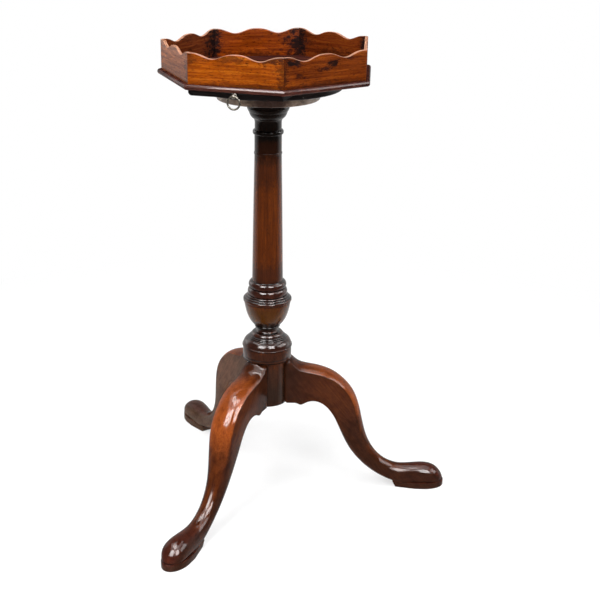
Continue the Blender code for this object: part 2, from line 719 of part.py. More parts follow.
def screw_room_profile(length):
    """The countersunk hole for that screw, open below."""
    return [
        (0.0, length + FIT),
        (SCREW_SHANK_RADIUS + FIT, length + FIT),
        (SCREW_SHANK_RADIUS + FIT, SCREW_HEAD_HEIGHT),
        (SCREW_HEAD_RADIUS + FIT, 0.0),
        (SCREW_HEAD_RADIUS + FIT, -CUT_OVERRUN),
        (0.0, -CUT_OVERRUN),
    ]


def add_screws(builder, label, places, bottom, length, pieces):
    """Screws driven up at the places given, with a countersunk hole through each piece they hold."""
    screw = turned_mesh(label, screw_profile(length), SCREW_STEPS)
    room = turned_mesh(label + "_room", screw_room_profile(length), SCREW_STEPS, False)
    for number, (x, y) in enumerate(places, 1):
        name = f"{label}_{number}"
        builder.add(name, screw, builder.iron, builder.slide_frame, (x, y, bottom))
        cutter = builder.cutter(name + "_room", room, builder.slide_frame, (x, y, bottom))
        for piece in pieces:
            boolean(piece, cutter)


def build_strap(builder):
    """The three-armed iron strap under the leg joints, with its screws."""
    top = HEIGHTS["block_bottom"] - FIT
    half = STRAP_WIDTH / 2
    low = (-half * 0.5, -half, top - STRAP_THICKNESS)
    arm = box_mesh("strap_arm", low, (LEG_BLOCK_RADIUS + STRAP_ARM_OUT, half, top))
    strap = builder.add("base_strap", arm.copy(), builder.iron, turn=LEG_ANGLES[1])
    for name, angle in (("front", LEG_ANGLES[0]), ("back", LEG_ANGLES[2])):
        boolean(strap, builder.cutter("strap_arm_" + name, arm, rotation=(0.0, 0.0, angle)), "UNION")
    head = top - STRAP_THICKNESS - FIT - SCREW_HEAD_HEIGHT
    length = STRAP_SCREW_BITE + STRAP_THICKNESS + FIT * 2 + SCREW_HEAD_HEIGHT
    points = [(0.0, length), (SCREW_SHANK_RADIUS, length - SCREW_TIP_LENGTH)]
    points += [(SCREW_SHANK_RADIUS, SCREW_HEAD_HEIGHT), (SCREW_HEAD_RADIUS, SCREW_HEAD_HEIGHT)]
    points += [(across * SCREW_HEAD_RADIUS, up * SCREW_HEAD_HEIGHT) for across, up in ROUND_HEAD_SHARES]
    screw = turned_mesh("strap_screw", points, SCREW_STEPS)
    room_bottom = top - STRAP_THICKNESS - CUT_OVERRUN
    radius = SCREW_SHANK_RADIUS + FIT
    room = rod_mesh("strap_screw_room", radius, room_bottom, top + CUT_OVERRUN, SCREW_STEPS)
    places = [(0.0, 0.0)]
    reach = LEG_BLOCK_RADIUS + STRAP_SCREW_OUT
    places += [(reach * math.cos(angle), reach * math.sin(angle)) for angle in LEG_ANGLES]
    for name, (x, y) in zip(("centre", "front", "right", "back"), places):
        builder.add("strap_screw_" + name, screw, builder.iron, place=(x, y, head))
        boolean(strap, builder.cutter("strap_screw_room_" + name, room, place=(x, y, 0.0)))


def build_blocks(builder):
    """The two round blocks between column and board, and the small pin in the upper one's edge."""
    bottom = HEIGHTS["column_block"]
    top = HEIGHTS["tenon_top"]
    profile = rounded_edge(COLUMN_BLOCK_RADIUS, bottom, top, COLUMN_BLOCK_ROUND)
    block = turned_mesh("column_block", profile, BLOCK_STEPS)
    lower = builder.add("column_block", block, builder.dark_wood)
    mortise = rod_mesh("mortise", TENON_RADIUS + FIT, bottom - CUT_OVERRUN, top + CUT_OVERRUN, COLUMN_STEPS)
    boolean(lower, builder.cutter("mortise", mortise))

    bottom = HEIGHTS["slide_block"]
    top = HEIGHTS["slide_block_top"]
    profile = rounded_edge(SLIDE_BLOCK_RADIUS, bottom, top, SLIDE_BLOCK_ROUND)
    block = turned_mesh("slide_block", profile, BLOCK_STEPS)
    upper = builder.add("slide_block", block, builder.dark_wood, builder.slide_frame)
    half = SLIDE_HALF_WIDTH + FIT
    channel = box_mesh(
        "slide_channel",
        (SLIDE_BACK - FIT, -half, HEIGHTS["channel"]),
        (SLIDE_BLOCK_RADIUS + CUT_OVERRUN, half, top + CUT_OVERRUN),
    )
    boolean(upper, builder.cutter("slide_channel", channel, builder.slide_frame))
    reach = STOP_PEG_RADIUS + FIT
    groove = box_mesh(
        "stop_groove",
        (STOP_PEG_PLACE - reach, -reach, HEIGHTS["slide"] - STOP_PEG_DEPTH - FIT),
        (STOP_PEG_PLACE + SLIDE_TRAVEL + reach, reach, HEIGHTS["channel"] + CUT_OVERRUN),
    )
    boolean(upper, builder.cutter("stop_groove", groove, builder.slide_frame))
    add_edge_pin(builder, upper)
    return lower, upper


def add_edge_pin(builder, block):
    """The small iron pin driven into the upper block's rim."""
    turn = EDGE_PIN_ANGLE
    rotation = (0.0, math.pi / 2, turn)
    reach = SLIDE_BLOCK_RADIUS - EDGE_PIN_LENGTH
    place = (reach * math.cos(turn), reach * math.sin(turn), HEIGHTS["slide_block"] + EDGE_PIN_RISE)
    pin = rod_mesh("edge_pin", EDGE_PIN_RADIUS, 0.0, EDGE_PIN_LENGTH + EDGE_PIN_PROUD, SCREW_STEPS)
    made = builder.add("edge_pin", pin, builder.iron, place=place)
    made.rotation_euler = rotation
    mouth = EDGE_PIN_LENGTH + CUT_OVERRUN
    room = rod_mesh("edge_pin_room", EDGE_PIN_RADIUS + FIT, -FIT, mouth, SCREW_STEPS)
    boolean(block, builder.cutter("edge_pin_room", room, place=place, rotation=rotation))


def build_slide(builder):
    """The slide with its stop peg and ring pull."""
    frame = builder.slide_frame
    bottom = HEIGHTS["slide"]
    top = HEIGHTS["slide_top"]
    half = SLIDE_HALF_WIDTH
    board = box_mesh("slide_board", (SLIDE_BACK, -half, bottom), (SLIDE_FRONT, half, top))
    slide = builder.add("slide_board", board, builder.dark_wood, frame)
    reach = 2 * SLIDE_WORN_CORNER
    low = (SLIDE_BACK - CUT_OVERRUN, -reach, -reach)
    worn = box_mesh("worn_corner", low, (SLIDE_FRONT + CUT_OVERRUN, reach, 0.0))
    worn_place = (0.0, -half + SLIDE_WORN_CORNER, bottom)
    boolean(slide, builder.cutter("worn_corner", worn, frame, worn_place, (-math.radians(45), 0.0, 0.0)))

    peg_bottom = bottom - STOP_PEG_DEPTH
    peg = rod_mesh("slide_stop_peg", STOP_PEG_RADIUS, peg_bottom, top, SCREW_STEPS)
    builder.add("slide_stop_peg", peg, builder.under_wood, frame, (STOP_PEG_PLACE, 0.0, 0.0))
    hole_radius = STOP_PEG_RADIUS + FIT
    peg_room = rod_mesh("peg_room", hole_radius, bottom - CUT_OVERRUN, top + CUT_OVERRUN, SCREW_STEPS)
    boolean(slide, builder.cutter("peg_room", peg_room, frame, (STOP_PEG_PLACE, 0.0, 0.0)))
    build_pull(builder, slide)


def build_pull(builder, slide):
    """The pull's post, screwed into the slide's front edge, and the ring that hangs in its eye."""
    shank_end = -PULL_STAND_OFF - PULL_SHANK_LENGTH
    rose_back = -PULL_STAND_OFF + FIT
    ball = PULL_BALL_RADIUS
    neck_angle = math.pi - math.asin(PULL_NECK_RADIUS / ball)
    angles = [neck_angle * k / PULL_BALL_STEPS for k in range(PULL_BALL_STEPS + 1)]
    profile = [(ball * math.sin(angle), ball * math.cos(angle)) for angle in angles]
    profile += [
        (PULL_NECK_RADIUS, rose_back + PULL_ROSE_THICKNESS),
        (PULL_ROSE_RADIUS, rose_back + PULL_ROSE_THICKNESS / 2),
        (PULL_ROSE_RADIUS, rose_back),
        (PULL_NECK_RADIUS, rose_back),
        (PULL_NECK_RADIUS, shank_end),
        (0.0, shank_end),
    ]
    outward = (0.0, math.pi / 2, 0.0)
    post_mesh = turned_mesh("pull_post", profile, SCREW_STEPS)
    post = builder.add("pull_post", post_mesh, builder.brass, builder.ring_frame)
    post.rotation_euler = outward
    eye = rod_mesh("pull_eye", PULL_EYE_RADIUS, -ball - CUT_OVERRUN, ball + CUT_OVERRUN, SCREW_STEPS)
    boolean(post, builder.cutter("pull_eye", eye, builder.ring_frame, rotation=(math.pi / 2, 0.0, 0.0)))
    shank_room = rod_mesh("shank_room", PULL_NECK_RADIUS + FIT, shank_end - FIT, 0.0, SCREW_STEPS)
    boolean(slide, builder.cutter("shank_room", shank_room, builder.ring_frame, rotation=outward))

    shape = bmesh.new()
    rings = []
    for k in range(RING_STEPS):
        turn = math.tau * k / RING_STEPS
        ring = []
        for step in range(WIRE_STEPS):
            angle = math.tau * step / WIRE_STEPS
            radius = RING_MEAN_RADIUS + RING_WIRE_RADIUS * math.cos(angle)
            across = radius * math.sin(turn)
            rise = radius * math.cos(turn) - RING_MEAN_RADIUS
            ring.append(shape.verts.new((RING_WIRE_RADIUS * math.sin(angle), across, rise)))
        rings.append(ring)
    for k, one in enumerate(rings):
        two = rings[(k + 1) % RING_STEPS]
        for step in range(WIRE_STEPS):
            after = (step + 1) % WIRE_STEPS
            shape.faces.new((one[step], one[after], two[after], two[step]))
    bmesh.ops.recalc_face_normals(shape, faces=shape.faces)
    ring_mesh = bpy.data.meshes.new("pull_ring")
    shape.to_mesh(ring_mesh)
    shape.free()
    ring_mesh.shade_smooth()
    builder.add("pull_ring", ring_mesh, builder.brass, builder.ring_frame)


def build_board(builder):
    """The seven-sided tray board with its rounded and undercut edge, and a groove for the gallery."""
    bottom = HEIGHTS["board"]
    top = HEIGHTS["board_top"]
    corner = BOARD_CORNER_RADIUS
    slack = FIT / 2
    groove_floor = top - GALLERY_GROOVE_DEPTH
    groove_outer = GALLERY_CORNER_RADIUS + slack / math.cos(SIDE_ANGLE / 2)
    groove_inner = GALLERY_CORNER_RADIUS - (GALLERY_THICKNESS + slack) / math.cos(SIDE_ANGLE / 2)
    profile = [(0.0, top), (groove_inner, top), (groove_inner, groove_floor)]
    profile += [(groove_outer, groove_floor), (groove_outer, top), (corner - BOARD_TOP_ROUND, top)]
    profile += bow(profile[-1], (corner, top - BOARD_THICKNESS / 2), 0.85, 4)
    profile += bow(profile[-1], (corner - BOARD_UNDERCUT, bottom), 0.6, 3)
    profile.append((0.0, bottom))
    mesh = turned_mesh("tray_board", profile, SIDES, False, FRONT_LEFT_CORNER)
    return builder.add("tray_board", mesh, builder.polish)


def build_gallery(builder):
    """Seven mitred panels with scalloped tops, standing in the board's groove."""
    outer = apothem(GALLERY_CORNER_RADIUS)
    half = outer * math.tan(SIDE_ANGLE / 2)
    bottom = HEIGHTS["gallery"]
    trough = GALLERY_HEIGHT - SCALLOP_DEPTH
    shape = bmesh.new()
    bmesh.ops.create_cube(shape, size=1.0)
    for vertex in shape.verts:
        vertex.co.x = outer - GALLERY_THICKNESS * (0.5 - vertex.co.x)
        vertex.co.y *= 2 * half
        vertex.co.z = bottom + (vertex.co.z + 0.5) * trough
    for step in range(1, SCALLOP_STEPS):
        bmesh.ops.bisect_plane(
            shape,
            geom=shape.verts[:] + shape.edges[:] + shape.faces[:],
            plane_co=(0.0, half * (2 * step / SCALLOP_STEPS - 1), 0.0),
            plane_no=(0.0, 1.0, 0.0),
        )
    mitre_share = 1 - FIT / 2 / math.cos(SIDE_ANGLE / 2) / half
    for vertex in shape.verts:
        if vertex.co.z > bottom + trough / 2:
            wave = (1 - math.cos(math.tau * SCALLOPS_PER_SIDE * (vertex.co.y / half + 1) / 2)) / 2
            vertex.co.z += SCALLOP_DEPTH * (1 - wave**SCALLOP_SHARPNESS_SHARE)
        vertex.co.y *= mitre_share * vertex.co.x / outer
    bmesh.ops.recalc_face_normals(shape, faces=shape.faces)
    mesh = bpy.data.meshes.new("gallery_panel")
    shape.to_mesh(mesh)
    shape.free()
    for number in range(SIDES):
        turn = SLIDE_SIDE + number * SIDE_ANGLE
        builder.add(f"gallery_panel_{number + 1}", mesh, builder.gallery_wood, turn=turn)


def build_screws(builder, lower, upper, board):
    """Screws that hold the board to the upper block and the two blocks together."""
    spread = BOARD_SCREW_SPREAD
    reach = BOARD_SCREW_REACH
    places = [(reach, spread), (-reach, spread), (-reach, -spread), (reach, -spread)]
    length = SLIDE_BLOCK_THICKNESS + FIT + SCREW_BITE
    add_screws(builder, "board_screw", places, HEIGHTS["slide_block"], length, (upper, board))
    offset = BLOCK_SCREW_OFFSET
    places = [(offset, offset), (-offset, offset), (-offset, -offset), (offset, -offset)]
    length = COLUMN_BLOCK_THICKNESS + FIT + SCREW_BITE
    add_screws(builder, "block_screw", places, HEIGHTS["column_block"], length, (lower, upper))


def main():
    """Build the stand from the floor up."""
    clear_scene()
    builder = Builder()
    build_legs(builder)
    build_column(builder)
    build_strap(builder)
    lower, upper = build_blocks(builder)
    build_slide(builder)
    board = build_board(builder)
    build_gallery(builder)
    build_screws(builder, lower, upper, board)


main()
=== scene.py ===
"""Looks of the kettle stand: turned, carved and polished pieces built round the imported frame.

Sizes are in millimetres and are turned into metres where a mesh is made. Heights are above the floor, and
other places are measured from the column's axis. Angles are in radians, and colours are screen colours.
"""

import logging
import math
from collections.abc import Callable, Iterator, Sequence
from contextlib import contextmanager
from dataclasses import dataclass
from enum import Enum

import bmesh
import bpy
from mathutils import Matrix, Vector


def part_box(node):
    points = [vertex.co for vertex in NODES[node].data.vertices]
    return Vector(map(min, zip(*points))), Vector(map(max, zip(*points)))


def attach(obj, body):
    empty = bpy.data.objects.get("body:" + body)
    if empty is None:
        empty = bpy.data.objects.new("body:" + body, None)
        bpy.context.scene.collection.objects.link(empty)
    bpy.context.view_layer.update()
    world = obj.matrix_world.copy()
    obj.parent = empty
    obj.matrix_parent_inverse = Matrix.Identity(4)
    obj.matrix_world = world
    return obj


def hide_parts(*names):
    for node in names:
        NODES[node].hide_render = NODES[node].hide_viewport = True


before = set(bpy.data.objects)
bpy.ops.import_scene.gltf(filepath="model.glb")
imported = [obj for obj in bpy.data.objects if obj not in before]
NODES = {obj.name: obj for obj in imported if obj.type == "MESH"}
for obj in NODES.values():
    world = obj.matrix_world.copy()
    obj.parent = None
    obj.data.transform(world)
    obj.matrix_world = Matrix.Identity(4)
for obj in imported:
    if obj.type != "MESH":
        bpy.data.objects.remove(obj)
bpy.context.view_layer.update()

LOG = logging.getLogger("kettle_stand")
MM = 0.001
FIT = 0.3
OVERRUN = 2.0
NEAR = 0.1
WHITE = (1.0, 1.0, 1.0, 1.0)
ORIGIN = (0.0, 0.0, 0.0)
UP = (0.0, 0.0, 1.0)
DOWN = (0.0, 0.0, -1.0)

Colour = tuple[int, int, int]
Pair = tuple[float, float]
Triple = tuple[float, float, float]
Outline = list[Pair]
Piece = bpy.types.Object
Edge = bmesh.types.BMEdge
Socket = bpy.types.NodeSocket


def column_axis() -> Vector:
    """Return the foot of the column's axis in the frame, in metres.

    Returns:
        The point on the floor under the column.
    """
    low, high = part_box("column")
    middle = (low + high) / 2
    return Vector((middle.x, middle.y, 0.0))


AXIS = column_axis()

SIDES = 7
SIDE_ANGLE = math.tau / SIDES
HALF_SIDE = SIDE_ANGLE / 2
FRONT_LEFT_CORNER = math.radians(-133.96)
SLIDE_SIDE = FRONT_LEFT_CORNER + HALF_SIDE
ALONG_SLIDE_SIDE = (0.0, 0.0, SLIDE_SIDE + math.pi / 2)


class Body(Enum):
    """The bodies that pieces ride on."""

    STAND = "stand"
    SLIDE = "slide"
    RING = "ring"


class Slot(Enum):
    """The record's material slots that the new pieces stand for."""

    POLISH = "polished_mahogany"
    GALLERY = "gallery_mahogany"
    DARK = "dark_mahogany"
    BRASS = "old_brass"
    IRON = "black_iron"


def spun(turn: float, out: float, across: float, height: float) -> Triple:
    """Return a place that lies out and across from the axis, after a turn about it."""
    x = out * math.cos(turn) - across * math.sin(turn)
    return (x, out * math.sin(turn) + across * math.cos(turn), height)


# Meshes, modelled with Blender's own tools


def take(piece: Piece) -> None:
    """Make one piece the only one selected, and active.

    Args:
        piece: The piece.
    """
    bpy.ops.object.select_all(action="DESELECT")
    piece.select_set(True)
    bpy.context.view_layer.objects.active = piece


def keep_placing() -> None:
    """Keep the selected piece's place, turn and size in its mesh."""
    bpy.ops.object.transform_apply(location=True, rotation=True, scale=True)


def choose(action: str) -> None:
    """Select or deselect the whole mesh in edit mode, by Blender's word for it."""
    bpy.ops.mesh.select_all(action=action)


@contextmanager
def editing(piece: Piece) -> Iterator[None]:
    """Edit one piece with nothing selected, and go back to object mode at the end.

    Args:
        piece: The mesh object to edit.

    Returns:
        A context that lasts as long as the piece is edited.
    """
    take(piece)
    bpy.ops.object.mode_set(mode="EDIT")
    bpy.ops.mesh.select_mode(type="VERT")
    choose("DESELECT")
    try:
        yield
    finally:
        bpy.ops.object.mode_set(mode="OBJECT")


def edited() -> bmesh.types.BMesh:
    """Return the mesh in edit mode, with its table of vertices up to date.

    Returns:
        The mesh that the next operator changes.
    """
    mesh = bmesh.from_edit_mesh(bpy.context.object.data)
    mesh.verts.ensure_lookup_table()
    return mesh


def pick(kind: str, test: Callable[[bmesh.types.BMVert | Edge], bool]) -> None:
    """Select only the vertices or the edges that pass a test, in edit mode.

    Args:
        kind: VERT or EDGE.
        test: Takes a vertex or an edge.
    """
    bpy.ops.mesh.select_mode(type=kind)
    mesh = edited()
    for part in mesh.verts if kind == "VERT" else mesh.edges:
        part.select_set(test(part))
    mesh.select_flush_mode()
    bmesh.update_edit_mesh(bpy.context.object.data)


def trace(name: str, points: Sequence[Vector]) -> Piece:
    """Draw a line by extruding a vertex from point to point.

    Args:
        name: Name of the new piece.
        points: Places along the line, in metres.

    Returns:
        The line as a mesh piece.
    """
    bpy.ops.mesh.primitive_plane_add(size=MM, location=points[0])
    piece = bpy.context.object
    piece.name = piece.data.name = name
    keep_placing()
    with editing(piece):
        choose("SELECT")
        bpy.ops.mesh.merge(type="CENTER")
    with editing(piece):
        choose("SELECT")
        for before, after in zip(points, points[1:]):
            bpy.ops.mesh.extrude_region_move(TRANSFORM_OT_translate={"value": after - before})
    return piece


def clean_up() -> None:
    """Merge doubles and face everything outwards, in edit mode."""
    choose("SELECT")
    bpy.ops.mesh.remove_doubles(threshold=0.01 * MM)
    bpy.ops.mesh.normals_make_consistent(inside=False)
    choose("DESELECT")


def turn_on_lathe(name: str, outline: Outline, steps: int) -> Piece:
    """Turn an outline about the upright line through the world's origin.

    Args:
        name: Name of the new piece.
        outline: Radius and height pairs, down the outer side.
        steps: Sides of the turned piece.

    Returns:
        The turned piece, closed and facing outwards.
    """
    piece = trace(name, [Vector((radius, 0.0, height)) * MM for radius, height in outline])
    with editing(piece):
        choose("SELECT")
        bpy.ops.mesh.spin(steps=steps, angle=math.tau, center=ORIGIN, axis=UP)
        clean_up()
    return piece


def cut_plate(name: str, points: Sequence[Vector], sweep: Vector) -> Piece:
    """Cut a plate to an outline and give it thickness.

    Args:
        name: Name of the new piece.
        points: The outline's corners in order, in metres.
        sweep: How far and which way the outline is swept, in metres.

    Returns:
        The closed plate.
    """
    piece = trace(name, points)
    with editing(piece):
        choose("SELECT")
        bpy.ops.mesh.edge_face_add()
        bpy.ops.mesh.extrude_region_move(TRANSFORM_OT_translate={"value": sweep})
        clean_up()
    return piece


def make_box(name: str, low: Triple, high: Triple) -> Piece:
    """Make a box.

    Args:
        name: Name of the new piece.
        low: Its lowest corner.
        high: Its highest corner.

    Returns:
        The box.
    """
    corners = [(low[0], low[1]), (high[0], low[1]), (high[0], high[1]), (low[0], high[1])]
    points = [Vector((x, y, low[2])) * MM for x, y in corners]
    return cut_plate(name, points, Vector((0.0, 0.0, high[2] - low[2])) * MM)


def round_edges(piece: Piece, test: Callable[[Edge], bool], width: float, segments: int = 3) -> None:
    """Bevel the edges that pass a test.

    Args:
        piece: The piece to bevel.
        test: Says which edges are bevelled.
        width: Width of the bevel.
        segments: Steps across the bevel.
    """
    with editing(piece):
        pick("EDGE", test)
        bpy.ops.mesh.bevel(offset=width * MM, segments=segments, profile=0.5, affect="EDGES")


def apply_modifier(piece: Piece, kind: str, **settings: object) -> None:
    """Add a modifier with its settings and apply it at once.

    Args:
        piece: The piece to change.
        kind: Blender's name for the modifier's type.
        **settings: Values of the modifier's properties.
    """
    take(piece)
    bpy.ops.object.modifier_add(type=kind)
    modifier = piece.modifiers[-1]
    for key, value in settings.items():
        setattr(modifier, key, value)
    bpy.ops.object.modifier_apply(modifier=modifier.name)


def carve(piece: Piece, tool: Piece, operation: str = "DIFFERENCE") -> None:
    """Cut or join a piece with a closed tool, and throw the tool away."""
    apply_modifier(piece, "BOOLEAN", object=tool, operation=operation, solver="EXACT")
    bpy.data.objects.remove(tool, do_unlink=True)


def settle(piece: Piece, turn: float = 0.0, place: Vector = AXIS) -> None:
    """Turn a piece about the upright, move it, and keep both in its mesh.

    Args:
        piece: The piece, modelled about the world's origin.
        turn: Angle about +Z.
        place: Where the origin of its drawing goes, in metres.
    """
    take(piece)
    piece.rotation_euler = (0.0, 0.0, turn)
    piece.location = place
    keep_placing()


def lay_level(piece: Piece, turn: float, place: Triple) -> None:
    """Lay an upright piece level, so that it points away from the axis.

    Args:
        piece: The piece, modelled about the world's origin.
        turn: The angle that it points to.
        place: Where its origin goes, before the turn.
    """
    take(piece)
    turned = Matrix.Rotation(turn, 4, "Z")
    spot = AXIS + turned @ (Vector(place) * MM)
    piece.matrix_world = Matrix.Translation(spot) @ turned @ Matrix.Rotation(math.pi / 2, 4, "Y")
    keep_placing()


def copy_of(piece: Piece, name: str) -> Piece:
    """Copy a piece with its own mesh.

    Args:
        piece: The pattern.
        name: Name of the copy.

    Returns:
        The copy.
    """
    take(piece)
    bpy.ops.object.duplicate()
    made = bpy.context.object
    made.name = made.data.name = name
    return made


def smooth(piece: Piece, degrees: float) -> None:
    """Shade a piece smooth, apart from edges sharper than an angle."""
    take(piece)
    bpy.ops.object.shade_smooth_by_angle(angle=math.radians(degrees))


def bow(start: Pair, end: Pair, share: float) -> Outline:
    """Points from one end of a moulding to the other, bowed out or in.

    Args:
        start: Radius and height at the upper end.
        end: Radius and height at the lower end.
        share: How far the line bows towards the corner of larger radius, or of smaller if negative.

    Returns:
        The points after the start, the end among them.
    """
    if share == 0.0:
        return [end]
    wide_end = start if start[0] > end[0] else end
    slim_end = end if wide_end is start else start
    corner = (wide_end[0], slim_end[1]) if share > 0.0 else (slim_end[0], wide_end[1])
    middle = ((start[0] + end[0]) / 2, (start[1] + end[1]) / 2)
    pull = tuple(middle[k] + abs(share) * (corner[k] - middle[k]) for k in range(2))
    steps = max(4, min(24, round(math.dist(start, end) / 0.5)))
    points = []
    for step in range(1, steps + 1):
        t = step / steps
        shares = ((1 - t) ** 2, 2 * t * (1 - t), t * t)
        points.append(tuple(sum(w * p[k] for w, p in zip(shares, (start, pull, end))) for k in range(2)))
    return points


# Finishes

NOISE_ENDS = (0.3, 0.7)
PATCH_FADE = (0.45, 1.1)


@dataclass(frozen=True)
class Stain:
    """A patch of other colour in a finish.

    Its place is measured from the column's axis, and its reach along the patch's turn. Ragged is the share
    of its reach by which its edge wanders.
    """

    place: Triple
    reach: Triple
    colour: Colour
    strength: float = 0.9
    turn: float = 0.0
    ragged: float = 0.45


def paint(colour: Colour) -> tuple[float, float, float, float]:
    """Turn a screen colour into the linear colour that shaders take.

    Args:
        colour: Red, green and blue, 0 to 255.

    Returns:
        The linear colour, opaque.
    """
    shares = [value / 255 for value in colour]
    linear = [s / 12.92 if s <= 0.04045 else ((s + 0.055) / 1.055) ** 2.4 for s in shares]
    return (*linear, 1.0)


def fill(tree: bpy.types.NodeTree, node: bpy.types.Node, inputs: dict[str | int, object]) -> None:
    """Link or set a node's sockets.

    Args:
        tree: The node tree.
        node: The node.
        inputs: Sockets to link, or values to set, by socket name or number.
    """
    for key, value in inputs.items():
        if isinstance(value, Socket):
            tree.links.new(value, node.inputs[key])
        else:
            node.inputs[key].default_value = value


def add_node(
    tree: bpy.types.NodeTree, kind: str, inputs: dict[str | int, object], **settings: object
) -> bpy.types.Node:
    """Add a shader node.

    Args:
        tree: The node tree.
        kind: The node's type without its ShaderNode prefix.
        inputs: Sockets to link, or values to set, by socket name or number.
        **settings: Values of the node's own properties.

    Returns:
        The new node.
    """
    made = tree.nodes.new("ShaderNode" + kind)
    for key, value in settings.items():
        setattr(made, key, value)
    fill(tree, made, inputs)
    return made


def direct_rays(tree: bpy.types.NodeTree) -> Socket:
    """Add a value that is 1 for camera, glossy and transmission rays, and 0 for others.

    Args:
        tree: The node tree.

    Returns:
        The value's socket.
    """
    seen = add_node(tree, "LightPath", {}).outputs
    shown = seen["Is Camera Ray"]
    for kind in ("Is Glossy Ray", "Is Transmission Ray"):
        shown = add_node(tree, "Math", {0: shown, 1: seen[kind]}, operation="MAXIMUM").outputs[0]
    return shown


class Recipe:
    """One material's node tree, with a method for each kind of step that the finishes use."""

    def __init__(self, name: str) -> None:
        """Start a material with a plain shader.

        Args:
            name: What the material is called.
        """
        self.material = bpy.data.materials.new(name)
        self.material.use_nodes = True
        self.tree = self.material.node_tree
        self.shader = self.tree.nodes["Principled BSDF"]
        self.coordinates = self.node("TexCoord", {}).outputs["Object"]

    def node(self, kind: str, inputs: dict[str | int, object], **settings: object) -> bpy.types.Node:
        """Add a node to this material, as add_node does."""
        return add_node(self.tree, kind, inputs, **settings)

    def set(self, **values: object) -> None:
        """Set or link the shader's sockets, named with _ for a space."""
        fill(self.tree, self.shader, {key.replace("_", " "): value for key, value in values.items()})

    def placed(self, centre: Triple, turn: Triple, scale: Triple) -> Socket:
        """Coordinates from a centre, turned, and counted in units of a scale.

        Args:
            centre: Place from the column's axis.
            turn: Angles about X, Y and Z.
            scale: Size of one unit along each turned axis.

        Returns:
            The vector socket.
        """
        inputs = {
            "Vector": self.coordinates,
            "Location": AXIS + Vector(centre) * MM,
            "Rotation": turn,
            "Scale": Vector(scale) * MM,
        }
        return self.node("Mapping", inputs, vector_type="TEXTURE").outputs["Vector"]

    def noise(self, vector: Socket, detail: float, rough: float, twist: float = 0.0) -> Socket:
        """Noise of about one blotch per unit of the vector, mostly from 0.3 to 0.7."""
        inputs = {"Vector": vector, "Scale": 1.0, "Detail": detail, "Roughness": rough, "Distortion": twist}
        return self.node("TexNoise", inputs).outputs["Fac"]

    def spread(self, value: Socket, low: float, high: float, start: float = 0.0, end: float = 1.0) -> Socket:
        """Map a value's range low to high smoothly onto start to end."""
        inputs = {"Value": value, "From Min": low, "From Max": high, "To Min": start, "To Max": end}
        return self.node("MapRange", inputs, interpolation_type="SMOOTHSTEP").outputs["Result"]

    def ramp(self, value: Socket, stops: Sequence[tuple[float, Colour]]) -> Socket:
        """Colour a value.

        Args:
            value: The value, 0 to 1.
            stops: Positions and their colours.

        Returns:
            The colour's socket.
        """
        made = self.node("ValToRGB", {"Fac": value})
        elements = made.color_ramp.elements
        while len(elements) < len(stops):
            elements.new(0.5)
        for element, (position, colour) in zip(elements, stops):
            element.position = position
            element.color = paint(colour)
        return made.outputs["Color"]

    def mix(self, share: Socket | float, one: Socket, two: Socket | tuple, blend: str = "MIX") -> Socket:
        """Mix two colours by a share."""
        settings = {"data_type": "RGBA", "blend_type": blend, "clamp_result": True}
        return self.node("Mix", {0: share, 6: one, 7: two}, **settings).outputs[2]

    def sum(self, operation: str, one: Socket | float, two: Socket | float) -> Socket:
        """Do a sum with two values, such as ADD or MAXIMUM."""
        return self.node("Math", {0: one, 1: two}, operation=operation).outputs[0]

    def times(self, one: Socket, two: Socket | float) -> Socket:
        """Multiply two values."""
        return self.sum("MULTIPLY", one, two)

    def length(self, vector: Socket) -> Socket:
        """Return a vector's length."""
        return self.node("VectorMath", {0: vector}, operation="LENGTH").outputs["Value"]

    def facing(self, way: Triple) -> Socket:
        """Return how squarely the surface faces a way: 1 straight along it, -1 straight against it."""
        normal = self.node("NewGeometry", {}).outputs["Normal"]
        return self.node("VectorMath", {0: normal, 1: way}, operation="DOT_PRODUCT").outputs["Value"]

    def patch(self, stain: Stain, ragged: Socket) -> Socket:
        """Mask of a stain: its strength in the middle, fading at a ragged edge.

        Args:
            stain: The patch.
            ragged: Noise that breaks up its edge.

        Returns:
            A value from 0 to the stain's strength.
        """
        away = self.length(self.placed(stain.place, (0.0, 0.0, stain.turn), stain.reach))
        edge = self.sum("ADD", away, self.spread(ragged, *NOISE_ENDS, -stain.ragged, stain.ragged))
        return self.spread(edge, *PATCH_FADE, stain.strength, 0.0)

    def raised(self, height: Socket, strength: float, depth: float) -> None:
        """Give the shader a relief of a strength and a depth, from a height of 0 to 1."""
        bump = self.node("Bump", {"Height": height, "Strength": strength, "Distance": depth * MM})
        self.set(Normal=bump.outputs["Normal"], Coat_Normal=bump.outputs["Normal"])


FIGURE_STOPS = (0.34, 0.5, 0.66)
CLOUD_STOPS = ((0.32, (150, 128, 118)), (0.58, (255, 255, 255)))
FIBRE_STOPS = ((0.34, (140, 122, 112)), (0.5, (232, 228, 224)), (0.64, (255, 255, 255)))
FIBRE_SIZE = (22.0, 0.8)
RAGGED_SIZE = (6.0, 3.4)
SMEAR_SIZE = (30.0, 12.0, 12.0)
SIDE_SHADE_ENDS = (0.55, 0.9)
UNDER_SHADE_ENDS = (0.1, 0.6)
FLECK_ENDS = (0.56, 0.68)
PORE_ENDS = (0.62, 0.7)
TOP_WEAR_AND_HIGHLIGHT_ENDS = (0.3, 0.9)
SMEAR_ENDS = (0.35, 0.65)
PORE_SINK = -0.6
WOOD_RELIEF = 0.12
METAL_STOPS = (0.36, 0.6)
METAL_ENDS = (0.8, 1.2)
METAL_RELIEF = 0.1


